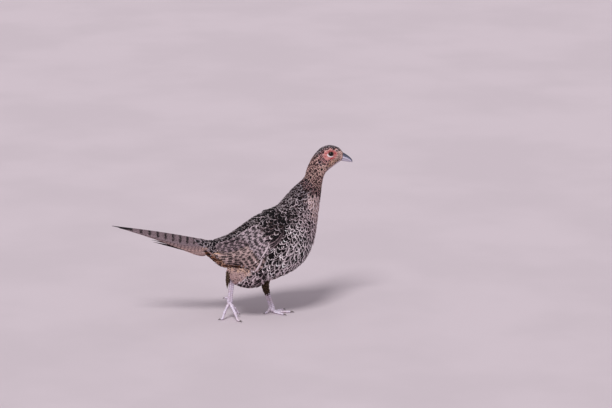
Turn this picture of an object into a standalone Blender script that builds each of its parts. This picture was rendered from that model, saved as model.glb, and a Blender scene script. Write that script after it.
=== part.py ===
"""A hen common pheasant, life size, walking, as a museum model that stands on its own feet.

The bird faces +X, its left side is +Y and the floor is at Z = 0. Sizes are in millimetres and
are turned into metres by MM.
"""
import math

import bmesh
import bpy
from mathutils import Matrix, Vector

MM = 0.001
GAP = 0.3 * MM                      # the space that touching nodes keep
STAND_AT = Vector((-0.95, 0, 0)) * MM   # moves the middle of the whole bird over the origin

# Body outline seen from the side, from the tail root to the bill: back x, back z, belly x,
# belly z, half width. Each row is one rung between the back and the belly.
BODY_RUNGS = (
    (-96, 166.5, -90, 150, 6),      # end of the tail coverts
    (-62, 161, -54, 130, 16),       # tail root
    (-36, 157, -24, 106, 30),       # rump and vent
    (-1, 167.5, 11, 99, 42),
    (31, 188.5, 50, 72, 52),        # hips and belly
    (63, 207, 104, 84, 56),         # widest
    (88, 218.5, 139, 108, 53),      # shoulders and breast
    (105, 236, 158, 142, 44),
    (120, 252.5, 166, 180, 35),     # foot of the neck
    (134, 264.5, 170.5, 213, 27.5),
    (143.5, 275, 174.5, 243, 21.5),
    (147.5, 290, 177.5, 264, 18),   # middle of the neck
    (154.5, 305.5, 182.5, 279.5, 16.5),
    (163, 319, 189, 286.5, 16),     # nape and throat
    (176, 331, 195.5, 291.2, 15.8),
    (188.5, 335.4, 200.5, 295, 15),  # crown, over the eye
    (201.5, 334, 206, 298.8, 13.2),
    (211.6, 329, 211, 301.8, 10.6),  # forehead and chin
    (218.4, 321.5, 215.5, 304.2, 7.6),  # root of the bill
)
BELLY_SHARE = 0.47                  # height of the widest line, as a share of the rung
SQUARENESS = 2.15                   # superellipse power of the section
BODY_SIDES = 28
ROWS_PER_RUNG = 3

# Where the one body is parted: rung numbers
TAIL_CUT, NECK_CUT, HEAD_CUT = 1.75, 8.2, 12.6


def clear_scene():
    for old in list(bpy.data.objects):
        bpy.data.objects.remove(old, do_unlink=True)


def material(name, colour, roughness):
    made = bpy.data.materials.new(name)
    made.use_nodes = True
    shader = made.node_tree.nodes["Principled BSDF"]
    shader.inputs["Base Color"].default_value = (*colour, 1)
    shader.inputs["Roughness"].default_value = roughness
    made.diffuse_color = (*colour, 1)
    return made


def between(rows, t):
    """A row of numbers at place t of a table, on a smooth curve through its rows."""
    last = len(rows) - 1
    t = min(max(t, 0.0), float(last))
    i = min(int(t), last - 1)
    u = t - i
    before = rows[max(i - 1, 0)]
    after = rows[min(i + 2, last)]
    found = []
    for p0, p1, p2, p3 in zip(before, rows[i], rows[i + 1], after):
        found.append(0.5 * (2 * p1 + (p2 - p0) * u + (2 * p0 - 5 * p1 + 4 * p2 - p3) * u * u
                            + (3 * p1 - p0 - 3 * p2 + p3) * u ** 3))
    return found


def signed_power(value, power):
    return math.copysign(abs(value) ** power, value)


def body_point(t, angle):
    """A point of the body's surface: rung t, and an angle that is 0 at the left side and 90 at the back."""
    back_x, back_z, belly_x, belly_z, half_width = (MM * v for v in between(BODY_RUNGS, t))
    back, belly = Vector((back_x, 0, back_z)), Vector((belly_x, 0, belly_z))
    middle = belly.lerp(back, BELLY_SHARE)
    across = signed_power(math.cos(angle), 2 / SQUARENESS)
    rise = signed_power(math.sin(angle), 2 / SQUARENESS)
    edge = back if rise > 0 else belly
    return middle + (edge - middle) * abs(rise) + Vector((0, half_width * across, 0))


def body_frame(t, angle):
    """The point, its outward normal, the direction towards the tail and the one down the side."""
    step_t, step_a = 0.02, 0.01
    here = body_point(t, angle)
    rearward = (body_point(t - step_t, angle) - body_point(t + step_t, angle)).normalized()
    down = (body_point(t, angle - step_a) - body_point(t, angle + step_a)).normalized()
    normal = rearward.cross(down).normalized()
    if normal.y * math.cos(angle) + normal.z * math.sin(angle) < 0:
        normal.negate()
    return here, normal, rearward, down


def new_object(name, bm, finish=None):
    bmesh.ops.recalc_face_normals(bm, faces=bm.faces)
    mesh = bpy.data.meshes.new(name)
    bm.to_mesh(mesh)
    bm.free()
    made = bpy.data.objects.new(name, mesh)
    bpy.context.scene.collection.objects.link(made)
    if finish:
        mesh.materials.append(finish)
    return made


def loft(name, rings, finish=None):
    """A closed body through rings of points, with its two ends capped."""
    bm = bmesh.new()
    rows = [[bm.verts.new(p) for p in ring] for ring in rings]
    count = len(rows[0])
    for low, high in zip(rows, rows[1:]):
        for i in range(count):
            j = (i + 1) % count
            bm.faces.new((low[i], low[j], high[j], high[i]))
    bm.faces.new(rows[0])
    bm.faces.new(rows[-1])
    return new_object(name, bm, finish)


def ring_round(centre, along, side, half_side, half_other, count, floor=None):
    """An oval ring of points about a centre, square to along. Points under the floor are raised to it."""
    along = along.normalized()
    side = (side - along * side.dot(along)).normalized()
    other = along.cross(side)
    ring = []
    for i in range(count):
        a = 2 * math.pi * (i + 0.5) / count
        p = centre + side * (half_side * math.cos(a)) + other * (half_other * math.sin(a))
        if floor is not None:
            p.z = max(p.z, floor)
        ring.append(p)
    return ring


def applied(target):
    """Puts what the modifiers make into the object's own mesh."""
    bpy.context.view_layer.update()
    graph = bpy.context.evaluated_depsgraph_get()
    mesh = bpy.data.meshes.new_from_object(target.evaluated_get(graph))
    target.modifiers.clear()
    target.data = mesh


def combine(target, pieces, operation, solver="EXACT"):
    """One Boolean on a collection of closed pieces, applied, with the pieces removed."""
    group = bpy.data.collections.new(target.name + "_pieces")
    bpy.context.scene.collection.children.link(group)
    for piece in pieces:
        for home in list(piece.users_collection):
            home.objects.unlink(piece)
        group.objects.link(piece)
    change = target.modifiers.new(operation.lower(), "BOOLEAN")
    change.operand_type = "COLLECTION"
    change.collection = group
    change.operation = operation
    change.solver = solver
    applied(target)
    for piece in list(group.objects):
        bpy.data.objects.remove(piece, do_unlink=True)
    bpy.data.collections.remove(group)
    keep_largest(target)


def keep_largest(target):
    """Drops loose scraps and keeps the largest closed surface."""
    bm = bmesh.new()
    bm.from_mesh(target.data)
    bmesh.ops.triangulate(bm, faces=bm.faces)
    unseen, groups = set(bm.faces), []
    while unseen:
        stack, group = [unseen.pop()], []
        while stack:
            face = stack.pop()
            group.append(face)
            for edge in face.edges:
                for other in edge.link_faces:
                    if other in unseen:
                        unseen.discard(other)
                        stack.append(other)
        groups.append(group)
    groups.sort(key=lambda g: sum(f.calc_area() for f in g))
    for group in groups[:-1]:
        bmesh.ops.delete(bm, geom=group, context="FACES")
    bm.to_mesh(target.data)
    bm.free()


def cut_plane(target, point, normal):
    """Cuts away what lies past a plane, on the side its normal points to, and closes the cut."""
    bm = bmesh.new()
    bm.from_mesh(target.data)
    bmesh.ops.bisect_plane(bm, geom=bm.verts[:] + bm.edges[:] + bm.faces[:],
                           plane_co=point, plane_no=normal, clear_outer=True, dist=1e-6)
    rim = [e for e in bm.edges if e.is_boundary]
    bmesh.ops.contextual_create(bm, geom=rim)
    bmesh.ops.recalc_face_normals(bm, faces=bm.faces)
    bm.to_mesh(target.data)
    bm.free()


def body_loft(name, first, last, grow=0.0, finish=None):
    """The body from rung first to rung last, swollen by grow."""
    rows = max(2, round((last - first) * ROWS_PER_RUNG))
    rings = []
    for r in range(rows + 1):
        t = first + (last - first) * r / rows
        ring = []
        for i in range(BODY_SIDES):
            angle = 2 * math.pi * (i + 0.5) / BODY_SIDES
            point, normal, _, _ = body_frame(min(max(t, 0.03), len(BODY_RUNGS) - 1.03), angle)
            ring.append(body_point(t, angle) + normal * grow)
        rings.append(ring)
    return loft(name, rings, finish)


def rung_plane(t):
    """The middle of a rung and the direction in which the body runs there, towards the bill."""
    ahead, behind = between(BODY_RUNGS, t + 0.1), between(BODY_RUNGS, t - 0.1)
    here = between(BODY_RUNGS, t)
    middle = Vector(((here[0] + here[2]) / 2, 0, (here[1] + here[3]) / 2)) * MM
    rung = Vector((here[0] - here[2], 0, here[1] - here[3]))
    run = Vector((ahead[0] + ahead[2] - behind[0] - behind[2], 0,
                  ahead[1] + ahead[3] - behind[1] - behind[3]))
    normal = Vector((rung.z, 0, -rung.x)).normalized()
    if normal.dot(run) < 0:
        normal.negate()
    return middle, normal


def body_part(name, low, high, finish):
    """The stretch of the body between two rungs. A rung of None leaves that end whole."""
    made = body_loft(name, 0, len(BODY_RUNGS) - 1, finish=finish)
    if low is not None:
        middle, run = rung_plane(low)
        cut_plane(made, middle + run * (GAP / 2), -run)
    if high is not None:
        middle, run = rung_plane(high)
        cut_plane(made, middle - run * (GAP / 2), run)
    return made


# Eye: centre when seen from the side, ball radius, how far it stands out of the cheek, and the
# oval line of the lids
EYE_X, EYE_Z = 192 * MM, 322 * MM
EYE_RADIUS, EYE_BULGE = 7.0 * MM, 1.6 * MM
LID_LONG, LID_HIGH, LID_THICK = 5.5 * MM, 4.5 * MM, 1.05 * MM
LID_SLANT = math.radians(-8)
LID_RISE, LID_SPREAD = 0.35 * MM, 1.15     # its line over the cheek, and its width by its thickness


def ball(name, centre, radius, rings=8, segments=14, finish=None):
    bm = bmesh.new()
    bmesh.ops.create_uvsphere(bm, u_segments=segments, v_segments=rings, radius=radius,
                              matrix=Matrix.Translation(centre))
    return new_object(name, bm, finish)


def cheek(head, x, z, side):
    """The point of the head's side, and its normal, at a place seen from the side."""
    _, spot, normal, _ = head.ray_cast(Vector((x, side * 50 * MM, z)), Vector((0, -side, 0)))
    return spot, normal


def lid_ring(head, side):
    """The raised rim of the eyelids, an oval ring that lies on the cheek."""
    steps, sides = 16, 6
    bm = bmesh.new()
    rings = []
    for i in range(steps):
        a = 2 * math.pi * i / steps
        flat = Vector((LID_LONG * math.cos(a), 0, LID_HIGH * math.sin(a)))
        flat.rotate(Matrix.Rotation(LID_SLANT, 3, "Y"))
        x, z = EYE_X + flat.x, EYE_Z + flat.z
        spine, normal = cheek(head, x, z, side)
        spine += normal * LID_RISE
        out = (flat - normal * flat.dot(normal)).normalized()
        rings.append([bm.verts.new(spine + out * (LID_THICK * LID_SPREAD * math.cos(b))
                                   + normal * (LID_THICK * math.sin(b)))
                      for b in (2 * math.pi * k / sides for k in range(sides))])
    for i in range(steps):
        low, high = rings[i], rings[(i + 1) % steps]
        for k in range(sides):
            m = (k + 1) % sides
            bm.faces.new((low[k], low[m], high[m], high[k]))
    return new_object("lid", bm)


# Bill, seen from the side: ridge x and z, line of the mouth x and z, under edge x and z, half width
BILL_ROWS = (
    (217.6, 320.6, 216.0, 309.6, 215.4, 303.6, 6.6),
    (222.5, 318.0, 221.0, 308.6, 220.4, 302.7, 6.1),
    (228.0, 314.2, 226.4, 306.5, 225.8, 301.8, 5.0),
    (233.0, 309.8, 231.2, 303.9, 230.2, 300.8, 3.6),
    (236.6, 305.4, 234.9, 301.2, 233.2, 300.2, 2.2),
    (238.3, 300.8, 237.1, 298.9, 235.2, 299.9, 0.8),
)
UPPER_END, LOWER_END = 5.0, 4.1     # the row that each half of the bill reaches
NOSTRIL_AT = Vector((222.6, 0, 314.2)) * MM
NOSTRIL_OUT = 5.9 * MM
NOSTRIL_SLANT = math.radians(32)
NOSTRIL_HALF = (2.4 * MM, 1.3 * MM, 0.75 * MM, 1)


def bill_half(name, upper, finish):
    """One half of the bill: rounded on its outer side and flat along the line of the mouth."""
    rings = []
    rows, count = 11, 14
    for r in range(rows + 1):
        t = (UPPER_END if upper else LOWER_END) * r / rows
        row = [MM * v for v in between(BILL_ROWS, t)]
        mouth = Vector((row[2], 0, row[3] + (GAP / 2 if upper else -GAP / 2)))
        rim = Vector((row[0], 0, row[1])) if upper else Vector((row[4], 0, row[5]))
        wide = row[6] * (1.0 if upper else 0.9 * (1 - 0.1 * t))
        middle = mouth.lerp(rim, 0.07)
        ring = []
        for i in range(count):
            a = 2 * math.pi * (i + 0.5) / count
            edge = rim if math.sin(a) > 0 else mouth
            ring.append(middle + (edge - middle) * abs(math.sin(a))
                        + Vector((0, wide * signed_power(math.cos(a), 0.85), 0)))
        rings.append(ring)
    return loft(name, rings, finish)


def make_bill(finish):
    upper = bill_half("bill_upper", True, finish)
    lower = bill_half("bill_lower", False, finish)
    _, run = rung_plane(len(BODY_RUNGS) - 1.15)
    face = body_point(len(BODY_RUNGS) - 1, math.pi / 2).lerp(
        body_point(len(BODY_RUNGS) - 1, -math.pi / 2), 0.5)
    for half in (upper, lower):
        cut_plane(half, face + run * GAP, -run)
    slots = []
    for side in (-1, 1):
        slot = ball("slot", Vector((0, 0, 0)), 1.0, rings=6, segments=8)
        slot.data.transform(Matrix.Translation(NOSTRIL_AT + Vector((0, side * NOSTRIL_OUT, 0)))
                            @ Matrix.Rotation(NOSTRIL_SLANT, 4, "Y")
                            @ Matrix.Diagonal(NOSTRIL_HALF))
        slots.append(slot)
    combine(upper, slots, "DIFFERENCE")
    return upper, lower


def make_head(finish, eye_finish):
    head = body_part("head", HEAD_CUT, None, finish)
    centres = []
    for side in (-1, 1):
        spot, normal = cheek(head, EYE_X, EYE_Z, side)
        centres.append(spot + normal * (EYE_BULGE - EYE_RADIUS))
    lids = [lid_ring(head, side) for side in (-1, 1)]
    combine(head, lids, "UNION")
    combine(head, [ball("socket", centre, EYE_RADIUS + GAP) for centre in centres], "DIFFERENCE")
    for centre, word in zip(centres, ("right", "left")):
        ball("eye_" + word, centre, EYE_RADIUS, finish=eye_finish)
    return head


# Wing panel on the body's left side: rung, then its lower and upper edge in degrees up from the
# side line, then how proud its flesh stands of the body
WING_EDGES = (
    (6.5, 44, 54, 0.4),
    (6.1, 34, 60, 2.4),
    (5.3, 26, 64, 3.2),
    (4.6, 18, 64, 2.6),
    (4.0, 4, 62, 1.8),
    (3.5, -8, 58, 1.4),
    (3.0, -10, 48, 1.2),
    (2.5, -4, 34, 1.0),
)
# Rows of wing feathers: how many, root of the uppermost and of the lowest, tip of the uppermost
# and of the lowest (each as rung and degrees), width, height over the body at root and at tip
WING_ROWS = (
    (4, (3.9, 16), (3.8, -2), (1.58, 7), (2.3, -27), 13, 0.4, 1.5),     # primaries
    (7, (4.5, 50), (4.4, 12), (1.92, 28), (3.5, -24), 17, 0.9, 2.5),    # secondaries
    (3, (4.8, 60), (4.6, 46), (2.12, 47), (2.0, 36), 20, 1.6, 3.2),     # tertials
    (8, (5.3, 60), (4.9, 20), (3.3, 59), (3.95, -2), 15, 1.9, 3.6),     # greater coverts
    (7, (6.1, 54), (5.5, 28), (4.35, 61), (4.5, 14), 14, 2.1, 4.3),     # median coverts
)
SHINGLE = 1.1 * MM                 # how far each feather stands over the next one down
TIP_THICK = 0.6 * MM
SHAFT_RISE = 0.35 * MM             # how far a vane's middle line stands over its edges at the root
VANE_SINK = 0.8 * MM               # how deep a wing vane's underside goes into the flesh
WING_SINK = 1.6 * MM               # and the flesh's own underside, before the body is cut from it
VANE_ROWS = (0.0, 0.36, 0.7, 0.89, 1.0)      # places along a vane, as shares of its length


def on_wing(t, degrees, height):
    """A point over the body's left side, at a height above its skin."""
    here, normal, _, _ = body_frame(t, math.radians(degrees))
    return here + normal * height


def vane(place):
    """A closed vane. place gives its points: share along, from -1 to 1 across, on top or under."""
    bm = bmesh.new()
    rows = len(VANE_ROWS) - 1
    bmesh.ops.create_grid(bm, x_segments=rows, y_segments=2, size=1)
    bmesh.ops.triangulate(bm, faces=bm.faces)
    made = bmesh.ops.extrude_face_region(bm, geom=bm.faces[:])
    tops = {v for v in made["geom"] if isinstance(v, bmesh.types.BMVert)}
    for v in bm.verts:
        along = VANE_ROWS[round((v.co.x + 1) / 2 * rows)]
        v.co = place(along, v.co.y, v in tops)
    return new_object("vane", bm)


def vane_width(along):
    """The share of its full width that a vane has at a place along it."""
    if along < 0.7:
        return 0.6 + 0.4 * min(1, along / 0.36)
    return max(0.16, math.sqrt(max(0, 1 - ((along - 0.7) / 0.3) ** 2)))


def wing_vane(root, tip, width, root_height, tip_height, lean):
    """A wing feather laid over the body; lean lifts its lower edge over the next feather down."""
    def place(along, across, top):
        t = root[0] + (tip[0] - root[0]) * along
        angle = math.radians(root[1] + (tip[1] - root[1]) * along)
        step = 0.01
        here, normal, _, _ = body_frame(t, angle)
        by_t = (body_point(t + step, angle) - body_point(t - step, angle)) / (2 * step)
        by_angle = (body_point(t, angle + step) - body_point(t, angle - step)) / (2 * step)
        run = by_t * (tip[0] - root[0]) + by_angle * math.radians(tip[1] - root[1])
        side = normal.cross(run).normalized()
        if side.z < 0:
            side.negate()
        reach = across * width / 2 * vane_width(along)
        a, b, c = by_t.dot(by_t), by_t.dot(by_angle), by_angle.dot(by_angle)
        d, e = side.dot(by_t) * reach, side.dot(by_angle) * reach
        level = a * c - b * b
        spot = t + (d * c - e * b) / level, angle + (a * e - b * d) / level
        here, normal, _, _ = body_frame(*spot)
        height = root_height + (tip_height - root_height) * along - lean * reach
        height += SHAFT_RISE * (1 - abs(across)) * (1 - along)
        if not top:
            height = -VANE_SINK if along < 0.8 else height - TIP_THICK
        return here + normal * height
    return vane(place)


def make_wing(name, finish):
    """The folded wing: its flesh and the rows of feathers that lie over it."""
    rings = []
    rows, across = 2 * (len(WING_EDGES) - 1), 6
    for r in range(rows + 1):
        t, low, top, proud = between(WING_EDGES, r / 2)
        over, under = [], []
        for k in range(across + 1):
            q = 2 * k / across - 1
            angle = (low + top) / 2 + (top - low) / 2 * q
            over.append(on_wing(t, angle, proud * MM * (1 - 0.8 * q ** 4)))
            under.append(on_wing(t, angle, -WING_SINK))
        rings.append(over + under[::-1])
    wing = loft(name, rings, finish)
    vanes = []
    for count, root_a, root_b, tip_a, tip_b, width, root_height, tip_height in WING_ROWS:
        first = body_point(tip_a[0], math.radians(tip_a[1]))
        last = body_point(tip_b[0], math.radians(tip_b[1]))
        spacing = (last - first).length / (count - 1)
        for k in range(count):
            s = k / (count - 1)
            root = [root_a[i] + (root_b[i] - root_a[i]) * s for i in (0, 1)]
            tip = [tip_a[i] + (tip_b[i] - tip_a[i]) * s for i in (0, 1)]
            vanes.append(wing_vane(root, tip, width * MM, root_height * MM, tip_height * MM,
                                   min(SHINGLE / spacing, 0.16)))
    combine(wing, vanes, "UNION")
    combine(wing, [body_loft("clear", 0, len(BODY_RUNGS) - 1, GAP)], "DIFFERENCE")
    return wing


def mirrored(name, source):
    """The same mesh on the other side of the bird."""
    bm = bmesh.new()
    bm.from_mesh(source.data)
    bmesh.ops.transform(bm, matrix=Matrix.Diagonal((1, -1, 1, 1)), verts=bm.verts)
    bmesh.ops.reverse_faces(bm, faces=bm.faces)
    mesh = bpy.data.meshes.new(name)
    bm.to_mesh(mesh)
    bm.free()
    mesh.materials.append(source.data.materials[0])
    made = bpy.data.objects.new(name, mesh)
    bpy.context.scene.collection.objects.link(made)
    return made


# Tail: the line of its ridge, and the roof-shaped fold of its sides
TAIL_ROOT = Vector((-44, 0, 157.4)) * MM
TAIL_TIP = Vector((-236, 0, 197.3)) * MM
ROOF_RADIUS, ROOF_START = 34 * MM, 25   # the fold's curve, and its slope in degrees at the ridge
TAIL_LENGTHS = (196, 181, 160, 137, 115, 95, 78, 64, 52)    # feathers of one side, from the middle out
TAIL_STEPS = (0.2, 3.1, 6.2, 9.3, 12.2, 14.4, 15.8, 16.6, 17.0)    # how far out each one's inner edge is
TAIL_WIDTH, TAIL_STACK = 22 * MM, 1.0 * MM
TAIL_ARCH = 2.3 * MM                    # how far the ridge bows up between its two ends
TAIL_TAPER = ((0.55,), (0.92,), (1.0,), (0.86,), (0.62,), (0.36,), (0.05,))


def roof_point(along, across, depth, side):
    """A point of the folded tail: metres along the ridge, out and down the side, and under it."""
    run = (TAIL_TIP - TAIL_ROOT).normalized()
    up = Vector((-run.z, 0, run.x))
    if up.z < 0:
        up.negate()
    start = math.radians(ROOF_START)
    slope = start + across / ROOF_RADIUS
    out = ROOF_RADIUS * (math.sin(slope) - math.sin(start)) - depth * math.sin(slope)
    drop = ROOF_RADIUS * (math.cos(start) - math.cos(slope)) + depth * math.cos(slope)
    bow = TAIL_ARCH * math.sin(math.pi * min(1, along / (TAIL_LENGTHS[0] * MM)))
    return TAIL_ROOT + run * along + Vector((0, side * max(out, 0.2 * MM), 0)) + up * (bow - drop)


def tail_vane(number, side):
    """A tail feather of one side, counted from the middle pair outwards and down."""
    length = TAIL_LENGTHS[number] * MM
    inner, depth = TAIL_STEPS[number] * MM, TAIL_STACK * number

    def place(along, across, top):
        width = TAIL_WIDTH * between(TAIL_TAPER, along * (len(TAIL_TAPER) - 1))[0]
        under = 0.0 if top else TIP_THICK + max(0, 0.9 * MM * (1 - along / 0.7))
        rib = 0.3 * MM * (1 - abs(across)) * (1 - along)
        return roof_point(length * along, inner + width * (1 + across) / 2, depth + under - rib, side)
    return vane(place)


def make_tail(finish):
    """The rump's end and the folded tail's feathers, left and right."""
    core = body_part("tail", None, TAIL_CUT, finish)
    vanes = [tail_vane(k, side) for k in range(len(TAIL_LENGTHS)) for side in (-1, 1)]
    combine(core, vanes, "UNION")
    middle, run = rung_plane(TAIL_CUT)
    cut_plane(core, middle - run * (GAP / 2), run)
    keep_largest(core)
    return core


# Legs: heel, foot joint and the places of the toe tips, in millimetres
HEELS = {"right": Vector((-5, -26, 97)) * MM, "left": Vector((67, 25.5, 60)) * MM}
JOINTS = {"right": Vector((-8.5, -10, 34)) * MM, "left": Vector((81, 15, 8.5)) * MM}
FOOT_RISE = 14 * MM                                # the foot takes in this much of the shank
TARSUS_DEEP, TARSUS_WIDE = 4.6 * MM, 3.15 * MM     # half sizes at the middle of the shank
SCUTES, SCUTE_RISE = 12, 0.35 * MM
# Thigh stations: centre x, y, z and the half sizes across the body and up and down
THIGHS = {
    "right": ((60, -26, 100, 12, 16), (48, -30, 98, 16, 24), (33, -33, 91, 16, 24), (18, -33, 88, 14, 19),
              (5, -31, 90, 10.5, 15), (-3, -28, 95, 8, 10), (-9, -26.5, 99, 5.5, 7)),
    "left": ((84, 26, 106, 14, 15), (79, 28, 92, 13, 14), (74, 28, 80, 11, 12), (70.5, 27, 70, 8.5, 10),
             (69, 26, 62, 7, 9), (69, 25.5, 54.5, 5.6, 7.6)),
}
# Tuft behind the right heel, in the same terms
HEEL_TUFT = ((-8, -26.5, 105, 4, 5), (-12, -26, 96, 4, 4.6), (-14.4, -25, 86, 3.2, 3.6),
             (-15.2, -24, 77, 2.0, 2.4), (-15.4, -23.5, 71, 0.7, 0.8))


def shank_rings(side):
    """The bare shank from the heel to the foot, with a row of scutes raised down its front."""
    heel, joint = HEELS[side], JOINTS[side]
    along = joint - heel
    across = along.cross(Vector((1, 0, 0))).normalized()
    front = across.cross(along).normalized()
    if front.x < 0:
        front.negate()
    rings = []
    steps = 2 * SCUTES
    for r in range(steps + 1):
        s = r / steps
        ends = 1 + 0.28 * math.exp(-((s - 0.02) / 0.09) ** 2) + 0.2 * math.exp(-((s - 0.93) / 0.08) ** 2)
        raised = SCUTE_RISE if r % 2 == 0 else 0.0
        ring = []
        for i in range(10):
            a = 2 * math.pi * (i + 0.5) / 10
            deep = TARSUS_DEEP * ends + (raised if math.cos(a) > 0.2 else 0)
            ring.append(heel + along * s + front * (deep * math.cos(a))
                        + across * (TARSUS_WIDE * ends * math.sin(a)))
        rings.append(ring)
    return rings


def limb_loft(name, table, grow=0.0, finish=None):
    """A soft form through rows of centre and half sizes, all in millimetres."""
    rings = []
    rows = 2 * (len(table) - 1)
    for r in range(rows + 1):
        x, y, z, wide, deep = between(table, r / 2)
        ahead, behind = between(table, r / 2 + 0.1), between(table, r / 2 - 0.1)
        along = Vector([ahead[k] - behind[k] for k in range(3)])
        rings.append(ring_round(Vector((x, y, z)) * MM, along, Vector((0, 1, 0)),
                                wide * MM + grow, deep * MM + grow, 16))
    return loft(name, rings, finish)


def make_thigh(side, finish):
    """The feathered leg above the heel, closed round the top of the shank."""
    thigh = limb_loft("thigh_" + side, THIGHS[side], finish=finish)
    if side == "right":
        combine(thigh, [limb_loft("tuft", HEEL_TUFT)], "UNION")
    shank = (JOINTS[side] - HEELS[side]).normalized()
    socket = [ring_round(HEELS[side] + shank * reach, shank, Vector((0, 1, 0)),
                         TARSUS_WIDE * 1.28 + 1.3 * GAP, TARSUS_DEEP * 1.28 + 2.5 * GAP, 12)
              for reach in (-1.3 * GAP, 40 * MM)]
    combine(thigh, [body_loft("clear", 0, len(BODY_RUNGS) - 1, GAP), loft("socket", socket)],
            "DIFFERENCE")
    return thigh


def make_tarsus(side, finish):
    tarsus = loft("tarsus_" + side, shank_rings(side), finish)
    run = (JOINTS[side] - HEELS[side]).normalized()
    cut_plane(tarsus, JOINTS[side] - run * (FOOT_RISE + GAP / 2), run)
    return tarsus


# Toes: places along each toe from the foot's middle to the root of the claw, then the claw's tip
TOES = {
    "right": {
        "middle": ((-5, -16, 26), (0, -24, 14), (3.2, -29, 3.6), (7, -34, 1.6), (11, -39, 0.9)),
        "outer": ((-13, -11, 26), (-19, -12, 14), (-22.6, -13, 3.4), (-27, -13.6, 1.5), (-32.5, -14, 0.9)),
        "inner": ((-3, -8, 27), (3, -5, 19), (8, -1, 11), (11, 1, 7.6), (15, 3.5, 3.2)),
        "hind": ((-12, -11.5, 43), (-14.5, -11, 43.5), (-17, -10.5, 43.6), (-18.5, -10.3, 43.6),
                 (-22, -9.5, 41.5)),
    },
    "left": {
        "middle": ((88, 14, 3.0), (99, 12.5, 2.3), (110, 11, 2.0), (116, 10, 1.7), (124, 9, 1.0)),
        "outer": ((87, 17.5, 2.8), (95, 23, 2.2), (102, 28, 1.9), (105.5, 30.5, 1.6), (112, 34.5, 1.0)),
        "inner": ((86, 10, 2.8), (92, 3.5, 2.2), (97, -2, 1.9), (100, -5, 1.6), (105, -10, 1.0)),
        "hind": ((74, 13.5, 6.8), (70, 12, 3.6), (67, 11, 1.9), (65.5, 10.5, 1.5), (61.5, 9.5, 1.0)),
    },
}
TOE_THICK = {"middle": 3.1 * MM, "outer": 2.9 * MM, "inner": 2.8 * MM, "hind": 2.1 * MM}
PAD_RADIUS = 4.8 * MM


def toe_rings(points, radius, floor):
    rings = []
    last = len(points) - 1
    for r in range(2 * last + 1):
        t = r / 2
        here = Vector(between(points, t)) * MM
        along = Vector(between(points, t + 0.1)) - Vector(between(points, t - 0.1))
        swell = 1 + 0.12 * math.cos(2 * math.pi * t)
        taper = 1 - 0.35 * t / last
        rings.append(ring_round(here, along, along.cross(Vector((0, 0, 1))), radius * swell * taper,
                                radius * swell * taper, 8, floor))
    return rings


def make_foot(side, finish):
    """The toes, the end of the shank that they grow from, flat where they stand on the floor."""
    heel, joint = HEELS[side], JOINTS[side]
    run = (joint - heel).normalized()
    foot = loft("foot_" + side, shank_rings(side), finish)
    cut_plane(foot, joint - run * (FOOT_RISE - GAP / 2), -run)
    pieces = [ball("pad", joint + run * 0.5 * MM, PAD_RADIUS, rings=6, segments=10)]
    for name, places in TOES[side].items():
        start = joint.lerp(heel, 0.14 if name == "hind" else 0.0) / MM
        points = [tuple(start)] + [p for p in places[:-1]]
        pieces.append(loft("toe", toe_rings(points, TOE_THICK[name], 0.0)))
    combine(foot, pieces, "UNION")
    bm = bmesh.new()
    bm.from_mesh(foot.data)
    for v in bm.verts:
        v.co.z = max(v.co.z, 0)
    bm.to_mesh(foot.data)
    bm.free()
    return foot


def make_claws(side, finish):
    """A curved, tapering claw past the end of each toe."""
    for name, places in TOES[side].items():
        root, tip = Vector(places[-2]) * MM, Vector(places[-1]) * MM
        last = len(places) - 2
        toe_run = (root - Vector(between(places[:-1], last - 0.1)) * MM).normalized()
        radius = TOE_THICK[name] * 0.62
        rings = []
        for r in range(5):
            s = r / 4
            here = (root + toe_run * GAP).lerp(tip, s) + Vector((0, 0, 0.9 * MM * math.sin(math.pi * s)))
            along = toe_run.lerp((tip - root).normalized(), s)
            size = radius * (1 - s) ** 0.8 + 0.25 * MM
            if r:
                here.z = max(here.z, size + 0.2 * MM)
            rings.append(ring_round(here, along, along.cross(Vector((0, 0, 1))), size, size, 8, 0.2 * MM))
        loft("claw_" + side + "_" + name, rings, finish)


def main():
    clear_scene()
    plumage = material("mottled plumage", (0.36, 0.26, 0.2), 0.8)
    wing_finish = material("wing plumage", (0.33, 0.24, 0.18), 0.75)
    tail_finish = material("tail plumage", (0.4, 0.28, 0.21), 0.75)
    horn = material("bill horn", (0.42, 0.42, 0.45), 0.4)
    eye_finish = material("eye", (0.05, 0.03, 0.02), 0.1)
    leg_skin = material("leg skin", (0.6, 0.53, 0.55), 0.55)
    claw_horn = material("claw horn", (0.2, 0.17, 0.16), 0.4)

    body_part("torso", TAIL_CUT, NECK_CUT, plumage)
    body_part("neck", NECK_CUT, HEAD_CUT, plumage)
    make_head(plumage, eye_finish)
    make_bill(horn)
    make_tail(tail_finish)
    wings = {"left": make_wing("wing_left", wing_finish)}
    wings["right"] = mirrored("wing_right", wings["left"])
    for side, wing in wings.items():
        combine(wing, [limb_loft("clear", THIGHS[side], GAP)], "DIFFERENCE")
    for side in ("left", "right"):
        make_thigh(side, plumage)
        make_tarsus(side, leg_skin)
        make_foot(side, leg_skin)
        make_claws(side, claw_horn)

    stance = bpy.data.objects.new("stance", None)
    bpy.context.scene.collection.objects.link(stance)
    stance.location = STAND_AT
    for part in list(bpy.data.objects):
        if part is not stance:
            part.parent = stance
            part.data.shade_smooth()
            part.data.set_sharp_from_angle(angle=math.radians(40))
    bpy.context.view_layer.update()


main()
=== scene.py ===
import math

import bmesh
import bpy
import numpy as np
from mathutils import Matrix, Vector
from mathutils.kdtree import KDTree


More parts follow.
